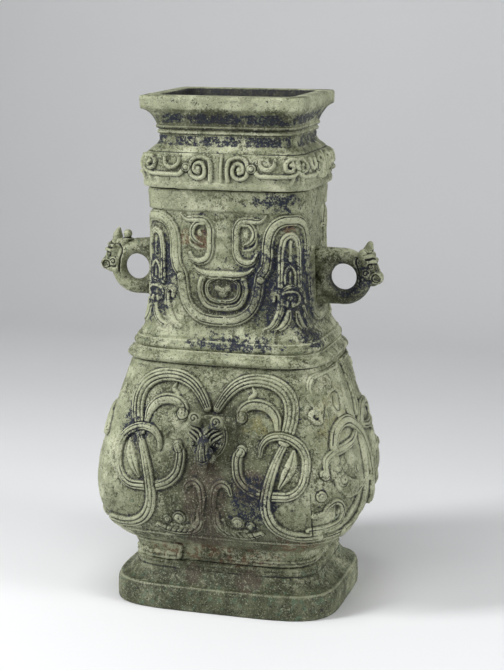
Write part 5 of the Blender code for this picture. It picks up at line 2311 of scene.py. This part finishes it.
    def build(self) -> bpy.types.Object:
        """Builds the handle.

        Returns:
            The handle.
        """
        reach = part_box("vessel")[1].x / MM
        middle = np.array([self.side * (reach - self.snout_reach), 0.0, self.hole_height])
        axes = np.diag([self.side, self.side, 1.0])
        limits = (np.array([-self.bar_depth, -30.0, -60.0]), np.array([self.snout_reach - 0.4, 30.0, 60.0]))
        name = "handle_right" if self.side > 0 else "handle_left"
        masses = self.loop() + self.head() + self.ears()
        return self.cast(name, masses, self.creases(), (middle, axes), limits)


@dataclass
class BellyHead(Sculpture):
    """A head in high relief on a broad face of the belly, with two horns that end in bosses on the front."""

    face: Face = Face.FRONT
    height: float = 216.5
    aside: float = -2.6
    rooted: float = 3.6

    @staticmethod
    def horn_top(side: float) -> float:
        """How high a horn's boss is, with the left one a little higher."""
        return 19.0 - 1.5 * side

    def masses(self) -> list[Lump | Limb]:
        """Models the collar, skull, brows, muzzle with its curled nostrils, and horns.

        Returns:
            The lumps and limbs.
        """
        parts: list[Lump | Limb] = [
            Lump((0, 0, 0), (23, 26, 6)),
            Lump((0, 5, 4), (16, 16, 9)),
            Limb(((0, 14, 6), (0, 3, 11), (0, -9, 14.5), (-0.6, -16, 15.6)), (5, 5.6, 6.6, 7.6)),
            Limb(((-0.6, -16, 14.5), (-1.4, -25, 10.5), (-2.4, -36, 4.5)), (8, 6.6, 4)),
        ]
        for side in (1, -1):
            parts += [
                Lump((11 * side, 1, 7.6), (9.6, 12, 6.8), -28 * side, "Z"),
                Lump((14.6 * side, -8.6, 8.6), (3.8, 3.8, 3.6)),
                Lump((7.4 * side, -15.4, 15.4), (4, 3.8, 3.6)),
                Lump((8.6 * side, -23.6, 8), (4.4, 5.4, 4.4)),
            ]
            if self.face is Face.FRONT:
                top = self.horn_top(side)
                parts.append(Limb(((9 * side, 9, 4), (11.8 * side, 14, 9), (13 * side, top, 14)), (7, 7.4)))
                parts.append(Lump((13 * side, top, 16.4), (7.8, 7.8, 4.6)))
            else:
                parts.append(Limb(((9 * side, 8, 6), (14 * side, 16, 7), (13 * side, 23, 5)), (5.6, 4.2, 2)))
        return parts

    def creases(self) -> list[Crease]:
        """Draws the ridged brows, the spirals on the horns, the eyes and the muzzle's lines.

        Returns:
            The ridges and grooves.
        """
        cuts = []
        ridges = (
            ((0.6, -0.8), (8, 6.6), (19, 12)),
            ((1.8, -5.8), (9, 1.4), (20.4, 8)),
            ((7, -7.4), (12.4, -2.2), (21.2, 3.6)),
        )
        for side in (1.0, -1.0):
            eye = whorl((14.8 * side, -8.6, 12.0), 3.3, np.arange(0.0, math.tau, 0.7), flat=True)
            curl = whorl((7.6 * side, -15.4, 19.0), 3.4, np.arange(0.0, 6.0, 0.6), pull=0.5, flat=True)
            cuts += [Crease(eye, 1.7, -1.3, closed=True), Crease(curl, 1.5, -1.1)]
            for ridge in ridges:
                cuts.append(Crease([(x * side, y, 14) for x, y in ridge], 2.6, 2))
                cuts.append(Crease([(x * side, y + 3, 14) for x, y in ridge], 1.8, -1.6))
            cuts += [
                Crease([(x * side, y - 3, 14) for x, y in ridges[2]], 1.7, -1.3),
                Crease(((3.4 * side, -10, 22), (4 * side, -18, 22), (4.6 * side, -27, 15)), 1.9, -1.3),
                Crease(
                    ((21 * side, 12, 3), (22.5 * side, -4, 3.5), (17 * side, -18, 4), (9 * side, -30, 5)),
                    2.2, -1.4,
                ),
            ]
            if self.face is Face.FRONT:
                middle = (13.0 * side, self.horn_top(side), 21.0)
                spiral = whorl(middle, 6.0, np.arange(0.0, 7.6, 0.5), pull=0.7, flat=True)
                cuts.append(Crease(spiral, 1.7, -1.2))
        cuts.append(Crease(((-6, -27, 14), (-1, -29, 16), (5, -27, 14)), 2, -1.4))
        return cuts

    def build(self) -> bpy.types.Object:
        """Builds the head on its face.

        Returns:
            The head.
        """
        rows = wall_rows([(Belly.profile, 1.0)])
        chart = Chart(rows, self.face.value + np.array([-0.1, 0.0, 0.1]), closed=False)
        row = int(np.abs(chart.height - self.height).argmin())
        middle, out = chart.points[row, 1], chart.normals[row, 1]
        across = chart.points[row, 2] - chart.points[row, 0]
        across /= np.linalg.norm(across)
        axes = np.stack([across, np.cross(out, across), out])
        middle = middle + across * (self.aside if self.face is Face.FRONT else 0.0)
        deepest = abs(float(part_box("vessel")[0].y)) / MM - abs(middle[1])
        limits = (np.array([-40.0, -60.0, -self.rooted]), np.array([40.0, 60.0, deepest - 0.6]))
        name = f"belly_head_{self.face.name.lower()}"
        return self.cast(name, self.masses(), self.creases(), (middle, axes), limits)


@dataclass
class Mouldings(Piece):
    """The two thread mouldings round the lid's flare, each a bead that follows the lid's outline."""

    node: str = "lid"
    slot: str = "lid_bronze"
    heights: tuple[float, ...] = (557.6, 563.8)
    bead: float = 2.0
    bead_sides: int = 8
    half_columns: int = 22
    underside_shade: float = 0.9

    def build(self, rows: np.ndarray) -> bpy.types.Object:
        """Builds both mouldings.

        Args:
            rows: The rows of the lid's outside.

        Returns:
            The mouldings.
        """
        model = NodeModel("thread_mouldings")
        radius = model.value("Bead radius", "Float", self.bead * MM)
        sides = model.value("Bead sides", "Int", self.bead_sides)
        circle = {0: sides, "Radius": radius}
        profile = model.add("GeometryNodeCurvePrimitiveCircle", {"mode": "RADIUS"}, circle)
        outline = model.add("GeometryNodeMeshToCurve", sockets={"Mesh": model.geometry()})
        swept = model.add("GeometryNodeCurveToMesh", sockets={"Curve": outline, "Profile Curve": profile})
        model.finish(swept, self.material)
        levels = [[np.interp(height, rows[:, 0], column) for column in rows.T] for height in self.heights]
        chart = Chart(np.array(levels), shares_round((self.half_columns,) * 8), closed=True)
        ids = np.arange(chart.points[..., 0].size).reshape(chart.points.shape[:2])
        edges = np.stack([ids, np.roll(ids, -1, axis=1)], axis=-1).reshape(-1, 2).tolist()
        item = model.run("lid_mouldings", chart.points.reshape(-1, 3), edges, [])
        lift = vertex_array(item.data)[:, 2] / MM
        middle = np.array(self.heights)[np.abs(lift[:, None] - np.array(self.heights)).argmin(axis=1)]
        # Painted shade under each bead and a painted highlight along its top, kept as the hollow that the
        # finish reads.
        hollow = self.underside_shade * (middle - lift) / self.bead
        mark_surface(item.data, hollow, np.zeros(len(lift)))
        return self.settle(item)


@dataclass
class Nodules(Piece):
    """The warts of corrosion on the vessel, scattered in clusters over its outer skin."""

    seed: int = 23
    density: float = 9500.0
    smallest: float = 0.45
    largest: float = 1.35
    flatness: float = 0.6
    cluster_scale: float = 22.0

    def build(self, skins: Sequence[np.ndarray]) -> bpy.types.Object:
        """Builds the warts.

        Args:
            skins: Grids of points on the vessel's outer skin, in millimetres.

        Returns:
            The warts, as one piece.
        """
        model = NodeModel("corrosion_warts")
        density = model.value("Warts per square metre", "Float", self.density)
        small = model.value("Smallest radius", "Float", self.smallest * MM)
        large = model.value("Largest radius", "Float", self.largest * MM)
        seed = model.value("Seed", "Int", self.seed)
        cloud = model.add("ShaderNodeTexNoise", sockets={"Scale": self.cluster_scale, "Detail": 2.0})
        cloud = cloud.between(0.50, 0.64)
        spread = {"Mesh": model.geometry(), "Density": density * cloud, "Seed": seed}
        points = model.add("GeometryNodeDistributePointsOnFaces", {"distribute_method": "RANDOM"}, spread)
        turn = Socket(model, points.output.node.outputs["Rotation"])
        limits = {2: small, 3: large, "Seed": seed}
        size = model.add("FunctionNodeRandomValue", {"data_type": "FLOAT"}, limits, output=1)
        scale = model.add("ShaderNodeCombineXYZ", sockets={0: size, 1: size, 2: size * self.flatness})
        wart = model.add("GeometryNodeMeshIcoSphere", sockets={"Radius": 1.0, "Subdivisions": 1})
        strewn = {"Points": points, "Instance": wart, "Rotation": turn, "Scale": scale}
        model.finish(model.add("GeometryNodeInstanceOnPoints", sockets=strewn), self.material)
        faces, count = [], 0
        for skin in skins:
            ids = np.arange(count, count + skin[..., 0].size).reshape(skin.shape[:2])
            count += ids.size
            corners = (ids[:-1, :-1], ids[:-1, 1:], ids[1:, 1:], ids[1:, :-1])
            faces.extend(np.stack(corners, axis=-1).reshape(-1, 4).tolist())
        draft = np.vstack([skin.reshape(-1, 3) for skin in skins])
        return self.settle(model.run("corrosion_warts", draft, [], faces))


def main() -> None:
    """Builds the studio and every piece."""
    logging.basicConfig(level=logging.INFO, format="%(name)s %(message)s")
    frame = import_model()
    LOG.info("frame nodes: %s", ", ".join(sorted(frame["nodes"])))
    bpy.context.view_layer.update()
    studio = Studio()
    studio.camera()
    studio.backdrop()
    studio.lights()
    vessel_bronze = Patina("vessel_patina").material()
    lid_bronze = Patina("lid_patina").material()
    weather = Weather(seed=11)
    body = [Foot(vessel_bronze, weather), Belly(vessel_bronze, weather), Neck(vessel_bronze, weather)]
    for piece in body:
        piece.build()
    Nodules(vessel_bronze, weather).build([skin for piece in body for skin in piece.skins])
    lid = Lid(lid_bronze, weather)
    lid.build()
    Mouldings(lid_bronze, weather).build(wall_rows(lid.runs()))
    for side, lift in ((1, 3.0), (-1, 4.6)):
        Handle(vessel_bronze, weather, side=side, lift=lift).build()
    for face in (Face.FRONT, Face.BACK):
        BellyHead(vessel_bronze, weather, face=face).build()


if __name__ == "__main__":
    main()
